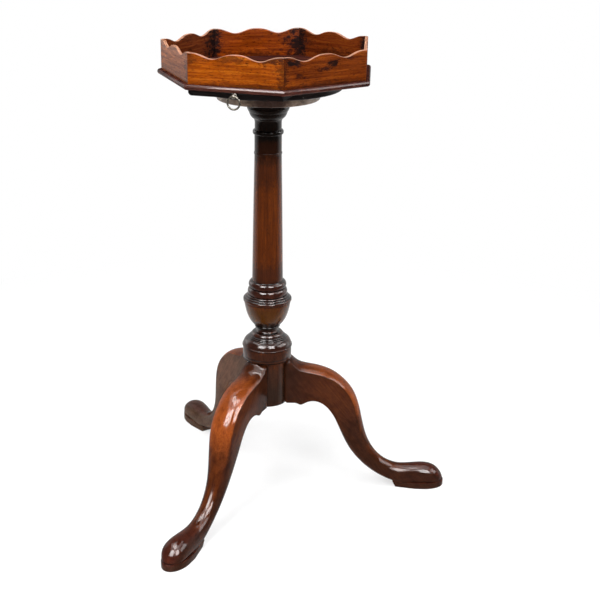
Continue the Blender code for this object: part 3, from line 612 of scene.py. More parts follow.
@dataclass(frozen=True)
class PolishedWood:
    """Old polished mahogany: figure, fibres, dark pores, stains and a worn gloss. Where asked, painted shade
    darkens the sides and the underside, and wear with a painted highlight lightens upward faces.

    The grain runs along the turned X axis. Pairs of sizes are along and across the grain. Other pairs are
    the ends of a range.
    """

    name: str
    dark: Colour
    middle: Colour
    light: Colour
    turn: Triple = ORIGIN
    centre: Triple = ORIGIN
    figure: Pair = (70.0, 7.0)
    fibres: float = 0.5
    fleck: Pair = (9.0, 1.0)
    flecks: float = 0.45
    pore: Pair = (3.2, 0.28)
    pores: float = 0.5
    pore_colour: Colour = (30, 14, 8)
    cloud: Pair = (46.0, 24.0)
    depth: float = 0.3
    stains: tuple[Stain, ...] = ()
    # Painted shade: faces turned to the sides of this turn, and faces turned down, are darkened towards this
    # colour.
    side_shade_turn: float | None = None
    side_shade_colour: Colour = (46, 24, 14)
    side_shade_share: float = 0.84
    gloss: Pair = (0.06, 0.17)
    coat: float = 0.07
    glancing_coat: float = 0.2
    glance: Pair = (0.3, 0.62)
    relief: float = 0.07
    matt_above: float | None = None
    matt_fade: float = 8.0
    matt_share: float = 0.2
    # Wear and a painted highlight: upward faces are lightened towards this colour, in place of the gloss
    # taken off them.
    top_wear_and_highlight: Colour | None = None
    top_wear_and_highlight_share: float = 0.55
    dull_top: Pair | None = None
    dull_share: float = 0.04

    def grain(self, recipe: Recipe, size: Pair, detail: float, rough: float, twist: float = 0.0) -> Socket:
        """Noise stretched along the grain."""
        return recipe.noise(recipe.placed(self.centre, self.turn, (*size, size[1])), detail, rough, twist)

    def stained_and_shaded(self, recipe: Recipe) -> Socket:
        """Colour the figure, lay the stains on it, and paint shade on the sides and the underside.

        Args:
            recipe: The material.

        Returns:
            The colour's socket.
        """
        figure = self.grain(recipe, self.figure, 4.0, 0.55, 0.4)
        wood = recipe.ramp(figure, list(zip(FIGURE_STOPS, (self.dark, self.middle, self.light))))
        ragged = self.grain(recipe, RAGGED_SIZE, 6.0, 0.7)
        for stain in self.stains:
            wood = recipe.mix(recipe.patch(stain, ragged), wood, paint(stain.colour))
        if self.side_shade_turn is None:
            return wood
        # Painted shade: the sides and the underside are darkened as if in shade.
        across = recipe.sum("ABSOLUTE", recipe.facing(spun(self.side_shade_turn, 0.0, 1.0, 0.0)), 0.0)
        under = recipe.spread(recipe.facing(DOWN), *UNDER_SHADE_ENDS)
        painted_shade = recipe.sum("MAXIMUM", recipe.spread(across, *SIDE_SHADE_ENDS), under)
        return recipe.mix(recipe.times(painted_shade, self.side_shade_share), wood, paint(self.side_shade_colour))

    def shine(self, recipe: Recipe, upward: Socket) -> Socket:
        """Weigh the coat: more at glancing angles, less above a height and on upward faces.

        Args:
            recipe: The material.
            upward: How squarely the surface faces up.

        Returns:
            The weight's socket.
        """
        coat = self.coat
        if self.matt_above is not None:
            height = recipe.node("SeparateXYZ", {0: recipe.coordinates}).outputs["Z"]
            low, high = ((self.matt_above + way * self.matt_fade) * MM for way in (-1, 1))
            coat = recipe.times(recipe.spread(height, low, high, 1.0, self.matt_share), coat)
        slant = recipe.node("LayerWeight", {"Blend": 0.5}).outputs["Facing"]
        weight = recipe.sum("ADD", recipe.spread(slant, *self.glance, 0.0, self.glancing_coat), coat)
        if self.dull_top:
            weight = recipe.times(weight, recipe.spread(upward, *self.dull_top, 1.0, self.dull_share))
        return weight

    def build(self) -> bpy.types.Material:
        """Build the finish as a material.

        Returns:
            The material, ready for a piece.
        """
        recipe = Recipe(self.name)
        wood = self.stained_and_shaded(recipe)
        fibre = self.grain(recipe, FIBRE_SIZE, 3.0, 0.65)
        holes = recipe.spread(self.grain(recipe, self.pore, 1.0, 0.5), *PORE_ENDS)
        fleck = recipe.spread(self.grain(recipe, self.fleck, 3.0, 0.6), *FLECK_ENDS)
        shadow = recipe.ramp(self.grain(recipe, self.cloud, 4.0, 0.55), CLOUD_STOPS)
        wood = recipe.mix(self.depth, wood, shadow, "MULTIPLY")
        wood = recipe.mix(self.fibres, wood, recipe.ramp(fibre, FIBRE_STOPS), "MULTIPLY")
        for mask, share in ((fleck, self.flecks), (holes, self.pores)):
            wood = recipe.mix(recipe.times(mask, share), wood, paint(self.pore_colour))
        upward = recipe.facing(UP)
        # Wear with a painted highlight on upward faces.
        if self.top_wear_and_highlight:
            worn = recipe.times(recipe.spread(upward, *TOP_WEAR_AND_HIGHLIGHT_ENDS), self.top_wear_and_highlight_share)
            wood = recipe.mix(worn, wood, paint(self.top_wear_and_highlight))
        smear = recipe.noise(recipe.placed(ORIGIN, self.turn, SMEAR_SIZE), 4.0, 0.6)
        rough = recipe.spread(smear, *SMEAR_ENDS, *self.gloss)
        weight = self.shine(recipe, upward)
        recipe.set(Base_Color=wood, Roughness=rough, Specular_IOR_Level=0.0, Coat_Weight=weight)
        # The export drops a linked coat roughness and keeps the socket's own value, so both are set.
        recipe.set(Coat_Roughness=sum(self.gloss) / 2)
        recipe.set(Coat_Roughness=rough)
        height = recipe.sum("ADD", recipe.sum("ADD", recipe.times(holes, PORE_SINK), fibre), smear)
        recipe.raised(height, self.relief, WOOD_RELIEF)
        return recipe.material


@dataclass(frozen=True)
class OldMetal:
    """Handled metal with a darker skin in patches."""

    name: str
    bright: Colour
    skin: Colour
    metallic: float
    gloss: Pair
    patches: float
    relief: float
    shine: float = 0.5
    speckle: float = 0.35

    def build(self) -> bpy.types.Material:
        """Build the finish as a material.

        Returns:
            The material, ready for a piece.
        """
        recipe = Recipe(self.name)
        cloud = recipe.noise(recipe.placed(ORIGIN, ORIGIN, (self.patches,) * 3), 5.0, 0.65, 0.3)
        fine = recipe.noise(recipe.placed(ORIGIN, ORIGIN, (self.speckle,) * 3), 3.0, 0.6)
        both = recipe.sum("ADD", cloud, fine)
        recipe.set(
            Base_Color=recipe.ramp(cloud, list(zip(METAL_STOPS, (self.skin, self.bright)))),
            Metallic=self.metallic,
            Specular_IOR_Level=self.shine,
            Roughness=recipe.spread(both, *METAL_ENDS, *self.gloss),
        )
        recipe.raised(both, self.relief, METAL_RELIEF)
        return recipe.material


Finish = PolishedWood | OldMetal
BRASS = OldMetal("old_brass_patina", (92, 85, 75), (18, 15, 12), 0.06, (0.1, 0.2), 2.6, 0.06, 0.05)
IRON = OldMetal("black_iron_skin", (74, 68, 64), (34, 30, 28), 0.85, (0.4, 0.62), 3.0, 0.4)
RAW_WOOD = PolishedWood(
    "unfinished_wood", (58, 42, 32), (76, 56, 42), (96, 72, 54), gloss=(0.55, 0.7), coat=0.3
)


# Sub-assemblies


class SubAssembly:
    """A group of pieces that is built and dressed together."""

    def hand_over(self, piece: Piece, finish: Finish, body: Body, slot: Slot, *nodes: str) -> None:
        """Dress a finished piece and put it in the place of CAD nodes.

        Args:
            piece: The piece, in its place.
            finish: Its finish.
            body: The body that it rides on.
            slot: The record's slot that its finish stands for. Not used.
            *nodes: CAD nodes that it stands for.
        """
        piece.data.materials.clear()
        piece.data.materials.append(finish.build())
        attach(piece, body.value)
        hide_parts(*nodes)
        LOG.info("%s: %d faces, for %s", piece.name, len(piece.data.polygons), ", ".join(nodes))

    def dress_nodes(self, names: Sequence[str], finish: Finish) -> None:
        """Give CAD nodes that stay a finish.

        Args:
            names: The nodes.
            finish: Their finish.
        """
        material = finish.build()
        for name in names:
            node = NODES[name]
            node.data.materials.clear()
            node.data.materials.append(material)
            LOG.info("%s: CAD node kept, with a new finish", name)


INK = (22, 22, 24)
SMOKE = (62, 30, 14)
SPOT = (24, 14, 12)
LEFT_PANEL = 6
BACK_PANELS = range(2, 6)

# Each panel's three tones and its stains, from the slide's side anticlockwise. A stain's row gives its middle
# and reach along the panel, the same above the board, its colour, how dense it is, and its ragged share.
PANELS = (
    (
        ((134, 60, 7), (159, 75, 9), (181, 97, 20)),
        (58.0, 10.0, 20.0, 30.0, (44, 22, 12), 0.6, 0.7),
        (38.0, 26.0, 33.0, 8.0, SMOKE, 0.85, 0.6),
        (-10.0, 30.0, 31.0, 5.0, SMOKE, 0.55, 0.6),
        (-58.0, 12.0, 30.0, 10.0, SMOKE, 0.6, 0.45),
        (20.0, 70.0, 0.0, 5.0, SMOKE, 0.6, 0.45),
    ),
    (
        ((93, 39, 8), (117, 51, 10), (140, 67, 15)),
        (-58.0, 6.0, 20.0, 30.0, (36, 20, 12), 0.7, 0.7),
        (-48.0, 8.0, 29.0, 5.0, (22, 14, 12), 0.95, 0.7),
        (-42.0, 9.0, 28.0, 4.5, SPOT, 0.9, 0.7),
        (-36.0, 7.0, 13.0, 3.5, SPOT, 0.7, 0.7),
        (11.0, 10.0, 24.0, 5.0, SPOT, 0.95, 0.7),
        (-4.0, 11.0, 19.0, 2.6, SPOT, 0.85, 0.6),
        (32.0, 8.0, 31.0, 3.0, SPOT, 0.7, 0.7),
        (0.0, 80.0, 0.0, 5.0, SMOKE, 0.6, 0.45),
    ),
    (
        ((92, 40, 16), (112, 52, 20), (130, 64, 28)),
        (30.0, 30.0, 26.0, 16.0, INK, 0.95, 0.45),
    ),
    (
        ((90, 36, 11), (117, 50, 15), (141, 67, 22)),
        (58.0, 21.0, 18.0, 40.0, INK, 0.95, 0.35),
        (-58.0, 12.0, 20.0, 30.0, INK, 0.9, 0.3),
        (-10.0, 40.0, 6.0, 12.0, SMOKE, 0.7, 0.45),
    ),
    (
        ((118, 48, 7), (149, 63, 11), (172, 78, 16)),
        (-58.0, 27.0, 16.0, 44.0, INK, 0.95, 0.4),
        (58.0, 14.0, 18.0, 40.0, INK, 0.95, 0.4),
        (0.0, 70.0, 0.0, 9.0, SMOKE, 0.7, 0.45),
    ),
    (
        ((89, 42, 21), (119, 57, 27), (142, 72, 34)),
        (-58.0, 28.0, 18.0, 42.0, INK, 0.95, 0.4),
        (10.0, 30.0, 4.0, 14.0, SMOKE, 0.8, 0.45),
    ),
    (
        ((114, 60, 26), (137, 74, 34), (156, 89, 45)),
        (58.0, 14.0, 10.0, 30.0, SMOKE, 0.6, 0.45),
    ),
)


@dataclass
class Tray(SubAssembly):
    """The seven-sided board and the scalloped gallery on it."""

    board_corner: float = 140.5
    board_bottom: float = 579.8
    board_top: float = 586.4
    groove_depth: float = 1.5
    rim_rounding: Pair = (3.2, 3.8)
    rim_undercut: float = 2.4
    corner_zone: float = 4.0
    corner_rounding: float = 1.0
    gallery_bottom: float = 585.2
    gallery_height: float = 37.3
    gallery_corner: float = 135.0
    gallery_thickness: float = 4.2
    gallery_rounding: float = 0.9
    scallop_depth: float = 6.1
    scallops: int = 2
    scallop_sharpness: float = 1.5
    scallop_steps: int = 72
    stain_depth: float = 12.0
    inner_stain_depth: float = 5.5
    inner_stain_gap: float = 2.0
    grain_shift: Pair = (37.0, 11.0)

    def build(self) -> None:
        """Build and dress the board and the seven panels."""
        self.build_board()
        self.build_gallery()

    def build_board(self) -> None:
        """Turn the board as a seven-sided piece and soften its corners."""
        corner, top, bottom = self.board_corner, self.board_top, self.board_bottom
        slack = FIT / 2 / math.cos(HALF_SIDE)
        outer = self.gallery_corner + slack
        inner = self.gallery_corner - self.gallery_thickness / math.cos(HALF_SIDE) - slack
        groove = top - self.groove_depth
        outline = [(0.0, top), (inner, top), (inner, groove), (outer, groove), (outer, top)]
        outline.append((corner - self.rim_rounding[0], top))
        outline += bow(outline[-1], (corner, top - self.rim_rounding[1]), 0.8)
        outline += bow(outline[-1], (corner - self.rim_undercut, bottom), 0.6)
        outline.append((0.0, bottom))
        board = turn_on_lathe("tray_top_board", outline, SIDES)
        rim = (corner - self.corner_zone) * MM

        def at_corner(edge: Edge) -> bool:
            """Say whether an edge runs down one of the seven corners of the rim."""
            short = edge.calc_length() < self.corner_zone * MM
            return short and all(vertex.co.xy.length > rim for vertex in edge.verts)

        round_edges(board, at_corner, self.corner_rounding)
        smooth(board, 30.0)
        settle(board, FRONT_LEFT_CORNER)
        finish = PolishedWood(
            "tray_board_polish",
            (48, 24, 20),
            (66, 34, 28),
            (84, 46, 36),
            turn=ALONG_SLIDE_SIDE,
            figure=(110.0, 12.0),
            coat=0.09,
            glancing_coat=0.12,
            dull_top=(0.6, 0.94),
        )
        self.hand_over(board, finish, Body.STAND, Slot.POLISH, "tray_board")

    def panel(self) -> Piece:
        """Cut one panel at +X: plate, mitred ends, rounded scalloped top.

        Returns:
            The panel, for copies to be turned to the seven sides.
        """
        outer = self.gallery_corner * math.cos(HALF_SIDE)
        half = self.gallery_corner * math.sin(HALF_SIDE) - FIT / 2 / math.cos(HALF_SIDE)
        crest = self.gallery_bottom + self.gallery_height
        outline = [(-half, self.gallery_bottom), (half, self.gallery_bottom)]
        for step in range(self.scallop_steps + 1):
            share = 1 - step / self.scallop_steps
            wave = (1 - math.cos(math.tau * self.scallops * share)) / 2
            fall = self.scallop_depth * wave**self.scallop_sharpness
            outline.append((half * (2 * share - 1), crest - fall))
        points = [Vector((outer, across, height)) * MM for across, height in outline]
        panel = cut_plate("gallery_side", points, Vector((-self.gallery_thickness, 0.0, 0.0)) * MM)
        inner = (outer - self.gallery_thickness) * MM
        mitre = (outer - self.gallery_thickness) / outer
        with editing(panel):
            pick("VERT", lambda vertex: vertex.co.x < inner + NEAR * MM)
            bpy.ops.transform.resize(value=(1.0, mitre, 1.0), center_override=(inner, 0.0, 0.0))
        low = (crest - self.scallop_depth - NEAR) * MM

        def on_top(edge: Edge) -> bool:
            """Say whether an edge follows the scalloped top on either face."""
            one, two = (vertex.co for vertex in edge.verts)
            return one.z > low and two.z > low and abs(one.x - two.x) < NEAR * MM

        round_edges(panel, on_top, self.gallery_rounding, 4)
        smooth(panel, 40.0)
        return panel

    def build_gallery(self) -> None:
        """Copy the panel round the board, each in its own finish."""
        pattern = self.panel()
        for number in range(SIDES):
            turn = SLIDE_SIDE + number * SIDE_ANGLE
            panel = copy_of(pattern, f"gallery_side_{number + 1}")
            settle(panel, turn)
            finish = self.panel_finish(number, turn)
            self.hand_over(panel, finish, Body.STAND, Slot.GALLERY, f"gallery_panel_{number + 1}")
        bpy.data.objects.remove(pattern, do_unlink=True)

    def panel_finish(self, number: int, turn: float) -> PolishedWood:
        """Return a panel's finish.

        Args:
            number: Which panel, from the slide's side anticlockwise.
            turn: The panel's angle.

        Returns:
            The wood, its grain level and along the panel. The back panels' stains keep off the outer face.
        """
        tones, *rows = PANELS[number]
        depth, thick = self.gallery_thickness / 2, self.stain_depth
        if number in BACK_PANELS:
            depth, thick = self.gallery_thickness + self.inner_stain_gap, self.inner_stain_depth
        out = self.gallery_corner * math.cos(HALF_SIDE) - depth
        stains = []
        for across, along, height, rise, colour, strength, ragged in rows:
            place = spun(turn, out, across, self.board_top + height)
            stains.append(Stain(place, (thick, along, rise), colour, strength, turn, ragged))
        return PolishedWood(
            f"gallery_polish_{number + 1}",
            *tones,
            turn=(0.0, 0.0, turn + math.pi / 2),
            centre=(self.grain_shift[0] * number, self.grain_shift[1] * number, 0.0),
            figure=(60.0, 3.2),
            fibres=0.65,
            fleck=(5.5, 0.8),
            flecks=0.85,
            pore=(4.2, 0.5),
            pores=0.7,
            stains=tuple(stains),
            gloss=(0.14, 0.24),
            coat=0.05,
            glancing_coat=0.3 if number == LEFT_PANEL else 0.06,
            # Wear with a painted highlight on the scalloped tops, whose gloss is taken off.
            top_wear_and_highlight=(206, 156, 128),
            dull_top=(0.3, 0.8),
        )


@dataclass
class Slide(SubAssembly):
    """The slide under the tray, with its stop peg, pull post and ring.

    The worn corner is in shares of its size, inwards and upwards. The stem gives the post's radius and
    height from the back of its rose.
    """

    bottom: float = 573.5
    top: float = 579.5
    back: float = -60.02
    front: float = 122.98
    half_width: float = 58.03
    front_rounding: float = 0.7
    worn_corner: float = 3.4
    worn_shares: tuple[Pair, ...] = ((0.0, 1.0), (0.22, 0.55), (0.6, 0.2), (1.1, 0.0))
    stand_off: float = 4.5
    ball: float = 2.9
    ball_steps: int = 18
    eye: float = 1.55
    eye_reach: float = 4.0
    eye_sides: int = 24
    neck: float = 1.3
    post_sides: int = 32
    stem: tuple[Pair, ...] = (
        (1.3, 1.5), (1.6, 1.1), (2.7, 0.9), (3.0, 0.6), (3.0, 0.0), (1.3, 0.0), (1.3, -12.0), (0.0, -12.0),
    )
    ring_radius: float = 7.5
    wire: float = 1.1
    ring_sides: tuple[int, int] = (72, 16)
    ring_wear: float = 0.9
    ring_wear_reach: float = 1.5

    def build(self) -> None:
        """Build and dress the slide and its pull."""
        self.build_board()
        self.build_post()
        self.build_ring()
        self.dress_nodes(["slide_stop_peg"], RAW_WOOD)

    def build_board(self) -> None:
        """Cut the slide's cross-section with its worn corner and run it front to back."""
        half, worn = self.half_width, self.worn_corner
        outline = [(-half, self.top)]
        outline += [(-half + inwards * worn, self.bottom + up * worn) for inwards, up in self.worn_shares]
        outline += [(half, self.bottom), (half, self.top)]
        points = [Vector((self.back, across, height)) * MM for across, height in outline]
        board = cut_plate("slide_leaf", points, Vector((self.front - self.back, 0.0, 0.0)) * MM)
        face = (self.front - NEAR) * MM
        round_edges(board, lambda edge: all(v.co.x > face for v in edge.verts), self.front_rounding)
        smooth(board, 35.0)
        settle(board, SLIDE_SIDE)
        finish = PolishedWood(
            "slide_polish",
            (14, 12, 12),
            (20, 17, 17),
            (30, 26, 25),
            turn=ALONG_SLIDE_SIDE,
            coat=0.03,
            glancing_coat=0.04,
        )
        self.hand_over(board, finish, Body.SLIDE, Slot.DARK, "slide_board")

    def pull_place(self) -> Triple:
        """Return the middle of the post's ball in the slide's own frame."""
        return (self.front + self.stand_off, 0.0, (self.bottom + self.top) / 2)

    def build_post(self) -> None:
        """Turn the post upright, drill its eye and lay it level in the slide's front."""
        ball, steps = self.ball, self.ball_steps
        end = math.pi - math.asin(self.neck / ball)
        angles = [end * k / steps for k in range(steps + 1)]
        outline = [(ball * math.sin(angle), ball * math.cos(angle)) for angle in angles]
        back = -self.stand_off + FIT
        outline += [(radius, back + height) for radius, height in self.stem]
        post = turn_on_lathe("pull_boss", outline, self.post_sides)
        eye, reach = self.eye, self.eye_reach
        rod = [(0.0, reach), (eye, reach), (eye, -reach), (0.0, -reach)]
        drill = turn_on_lathe("eye_drill", rod, self.eye_sides)
        take(drill)
        drill.rotation_euler = (math.pi / 2, 0.0, 0.0)
        keep_placing()
        carve(post, drill)
        smooth(post, 40.0)
        lay_level(post, SLIDE_SIDE, self.pull_place())
        self.hand_over(post, BRASS, Body.SLIDE, Slot.BRASS, "pull_post")

    def build_ring(self) -> None:
        """Bend the ring, worn a little thinner where it hangs in the eye."""
        bpy.ops.mesh.primitive_torus_add(
            major_segments=self.ring_sides[0],
            minor_segments=self.ring_sides[1],
            major_radius=self.ring_radius * MM,
            minor_radius=self.wire * MM,
            location=(self.ring_radius * MM, 0.0, 0.0),
        )
        ring = bpy.context.object
        ring.name = "pull_hoop"
        keep_placing()
        with editing(ring):
            pick("VERT", lambda vertex: vertex.co.x < self.ring_wear_reach * MM)
            bpy.ops.transform.resize(value=(self.ring_wear, 1.0, self.ring_wear), center_override=ORIGIN)
        smooth(ring, 60.0)
        lay_level(ring, SLIDE_SIDE, self.pull_place())
        self.hand_over(ring, BRASS, Body.RING, Slot.BRASS, "pull_ring")


@dataclass
class Blocks(SubAssembly):
    """The two round blocks between the column and the tray.

    Screws are given by their places from the axis. The channel and the groove are given by two corners.
    """

    lower_radius: float = 65.3
    lower_bottom: float = 552.3
    lower_top: float = 565.2
    lower_softness: float = 1.5
    lower_sides: int = 128
    upper_radius: float = 93.6
    upper_bottom: float = 565.5
    upper_top: float = 579.5
    upper_softness: float = 2.8
    upper_sides: int = 144
    edge_bow: float = 0.85
    mortise: float = 12.8
    channel: tuple[Triple, Triple] = ((-60.32, -58.33, 573.2), (98.0, 58.33, 579.5 + OVERRUN))
    groove: tuple[Triple, Triple] = ((-47.32, -2.3, 569.2), (57.28, 2.3, 574.0))
    lower_screws: Pair = (32.0, 32.0)
    upper_screws: Pair = (30.0, 76.0)
    head_radius: float = 3.2
    head_height: float = 1.8
    shank_radius: float = 1.8
    shank_height: float = 9.0
    hole_sides: int = 24
    pin: tuple[Pair, ...] = ((0.0, 6.3), (0.55, 6.25), (0.8, 6.1), (0.8, 0.4), (0.3, 0.0), (0.0, 0.0))
    pin_angle: float = math.radians(-64.0)
    pin_depth: float = 6.0
    pin_rise: float = 3.2
    pin_sides: int = 16

    def build(self) -> None:
        """Build and dress the blocks, the pin and the screws."""
        self.build_lower()
        self.build_upper()
        self.build_pin()
        self.dress_nodes([f"{kind}_screw_{k}" for kind in ("board", "block") for k in range(1, 5)], IRON)
        self.dress_nodes(["column_wedge"], RAW_WOOD)

    def disc(self, radius: float, bottom: float, top: float, softness: float, hole: float) -> Outline:
        """Draw the outline of a round block with soft edges.

        Args:
            radius: Radius of the block.
            bottom: Height of its underside.
            top: Height of its upper face.
            softness: Size of the rounding at both edges.
            hole: Radius of the hole through it, or 0.

        Returns:
            The outline, from the hole's upper edge round to its lower edge.
        """
        outline = [(hole, top), (radius - softness, top)]
        outline += bow(outline[-1], (radius, top - softness), self.edge_bow)
        outline.append((radius, bottom + softness))
        outline += bow(outline[-1], (radius - softness, bottom), self.edge_bow)
        outline.append((hole, bottom))
        return outline + [(hole, top)] if hole else outline

    def countersinks(self, bottom: float, place: Pair, turn: float) -> Piece:
        """Make one tool for the four countersunk holes in a block's underside.

        Args:
            bottom: Height of the underside.
            place: Where the first screw is. The others mirror it.
            turn: The screws' angle about the axis.

        Returns:
            The joined tool, about the world's origin.
        """
        head, shank, end = self.head_radius + FIT, self.shank_radius, bottom + self.shank_height
        outline = [(0.0, end), (shank, end), (shank, bottom + self.head_height)]
        outline += [(head, bottom), (head, bottom - OVERRUN), (0.0, bottom - OVERRUN)]
        pattern = turn_on_lathe("countersink", outline, self.hole_sides)
        tools = []
        for number, (x, y) in enumerate(((1, 1), (-1, 1), (-1, -1), (1, -1))):
            tool = copy_of(pattern, f"countersink_{number}")
            settle(tool, 0.0, Vector((x * place[0], y * place[1], 0.0)) * MM)
            tools.append(tool)
        bpy.data.objects.remove(pattern, do_unlink=True)
        take(tools[0])
        for tool in tools:
            tool.select_set(True)
        bpy.ops.object.join()
        settle(tools[0], turn, Vector(ORIGIN))
        return tools[0]

    def build_lower(self) -> None:
        """Turn the lower block, with the mortise for the column's tenon."""
        ends = (self.lower_bottom, self.lower_top)
        outline = self.disc(self.lower_radius, *ends, self.lower_softness, self.mortise)
        block = turn_on_lathe("column_cap_block", outline, self.lower_sides)
        carve(block, self.countersinks(self.lower_bottom, self.lower_screws, SLIDE_SIDE))
        smooth(block, 32.0)
        settle(block)
        # Partly painted reflection: the light grey-brown tones stand in for the bright room mirrored at the
        # sides, and the dark patch at the front for the dark room mirrored there.
        finish = PolishedWood(
            "column_block_polish",
            (96, 80, 67),
            (120, 102, 87),
            (142, 122, 107),
            turn=(0.0, 0.0, SLIDE_SIDE),
            stains=(Stain((2.0, -66.0, 556.0), (30.0, 30.0, 30.0), (50, 27, 19), 0.9, 0.0, 0.1),),
            gloss=(0.2, 0.34),
            coat=0.2,
            glancing_coat=0.6,
            glance=(0.05, 0.45),
        )
        self.hand_over(block, finish, Body.STAND, Slot.DARK, "column_block")

    def build_upper(self) -> None:
        """Turn the upper block and cut the slide's channel and the peg's groove."""
        ends = (self.upper_bottom, self.upper_top)
        outline = self.disc(self.upper_radius, *ends, self.upper_softness, 0.0)
        block = turn_on_lathe("slide_case_block", outline, self.upper_sides)
        carve(block, make_box("channel", *self.channel))
        carve(block, make_box("groove", *self.groove))
        carve(block, self.countersinks(self.upper_bottom, self.upper_screws, 0.0))
        smooth(block, 32.0)
        settle(block, SLIDE_SIDE)
        finish = PolishedWood(
            "slide_block_polish", (14, 11, 11), (22, 17, 16), (32, 26, 24), turn=(0.0, 0.0, SLIDE_SIDE)
        )
        self.hand_over(block, finish, Body.STAND, Slot.DARK, "slide_block")

    def build_pin(self) -> None:
        """Make the small nail in the upper block's rim, with a hammered head."""
        pin = turn_on_lathe("rim_nail", list(self.pin), self.pin_sides)
        smooth(pin, 40.0)
        place = (self.upper_radius - self.pin_depth, 0.0, self.upper_bottom + self.pin_rise)
        lay_level(pin, self.pin_angle, place)
        self.hand_over(pin, IRON, Body.STAND, Slot.IRON, "edge_pin")


@dataclass(frozen=True)
class Moulding:
    """One turned form of the column: the radius at its lower end, its height, and how it bows."""

    radius: float
    height: float
    share: float = 0.0


def mouldings(*rows: tuple[float, ...]) -> tuple[Moulding, ...]:
    """Return the mouldings that rows of numbers stand for, from the top down."""
    return tuple(Moulding(*row) for row in rows)


def ridges(start: float, end: float, height: float, groove: float = 0.4, count: int = 3) -> list[tuple]:
    """Fine rounded ridges that step out from one radius to another, with a groove between them.

    Args:
        start: Radius above the run.
        end: Radius of the last ridge.
        height: Height of one ridge.
        groove: Height and depth of a groove.
        count: How many ridges there are.

    Returns:
        The run's rows, from the top down.
    """
    rows = []
    for step in range(1, count + 1):
        radius = start + (end - start) * step / count
        rows += [(radius, height, 0.8), (radius - groove, groove)]
    return rows[:-1]


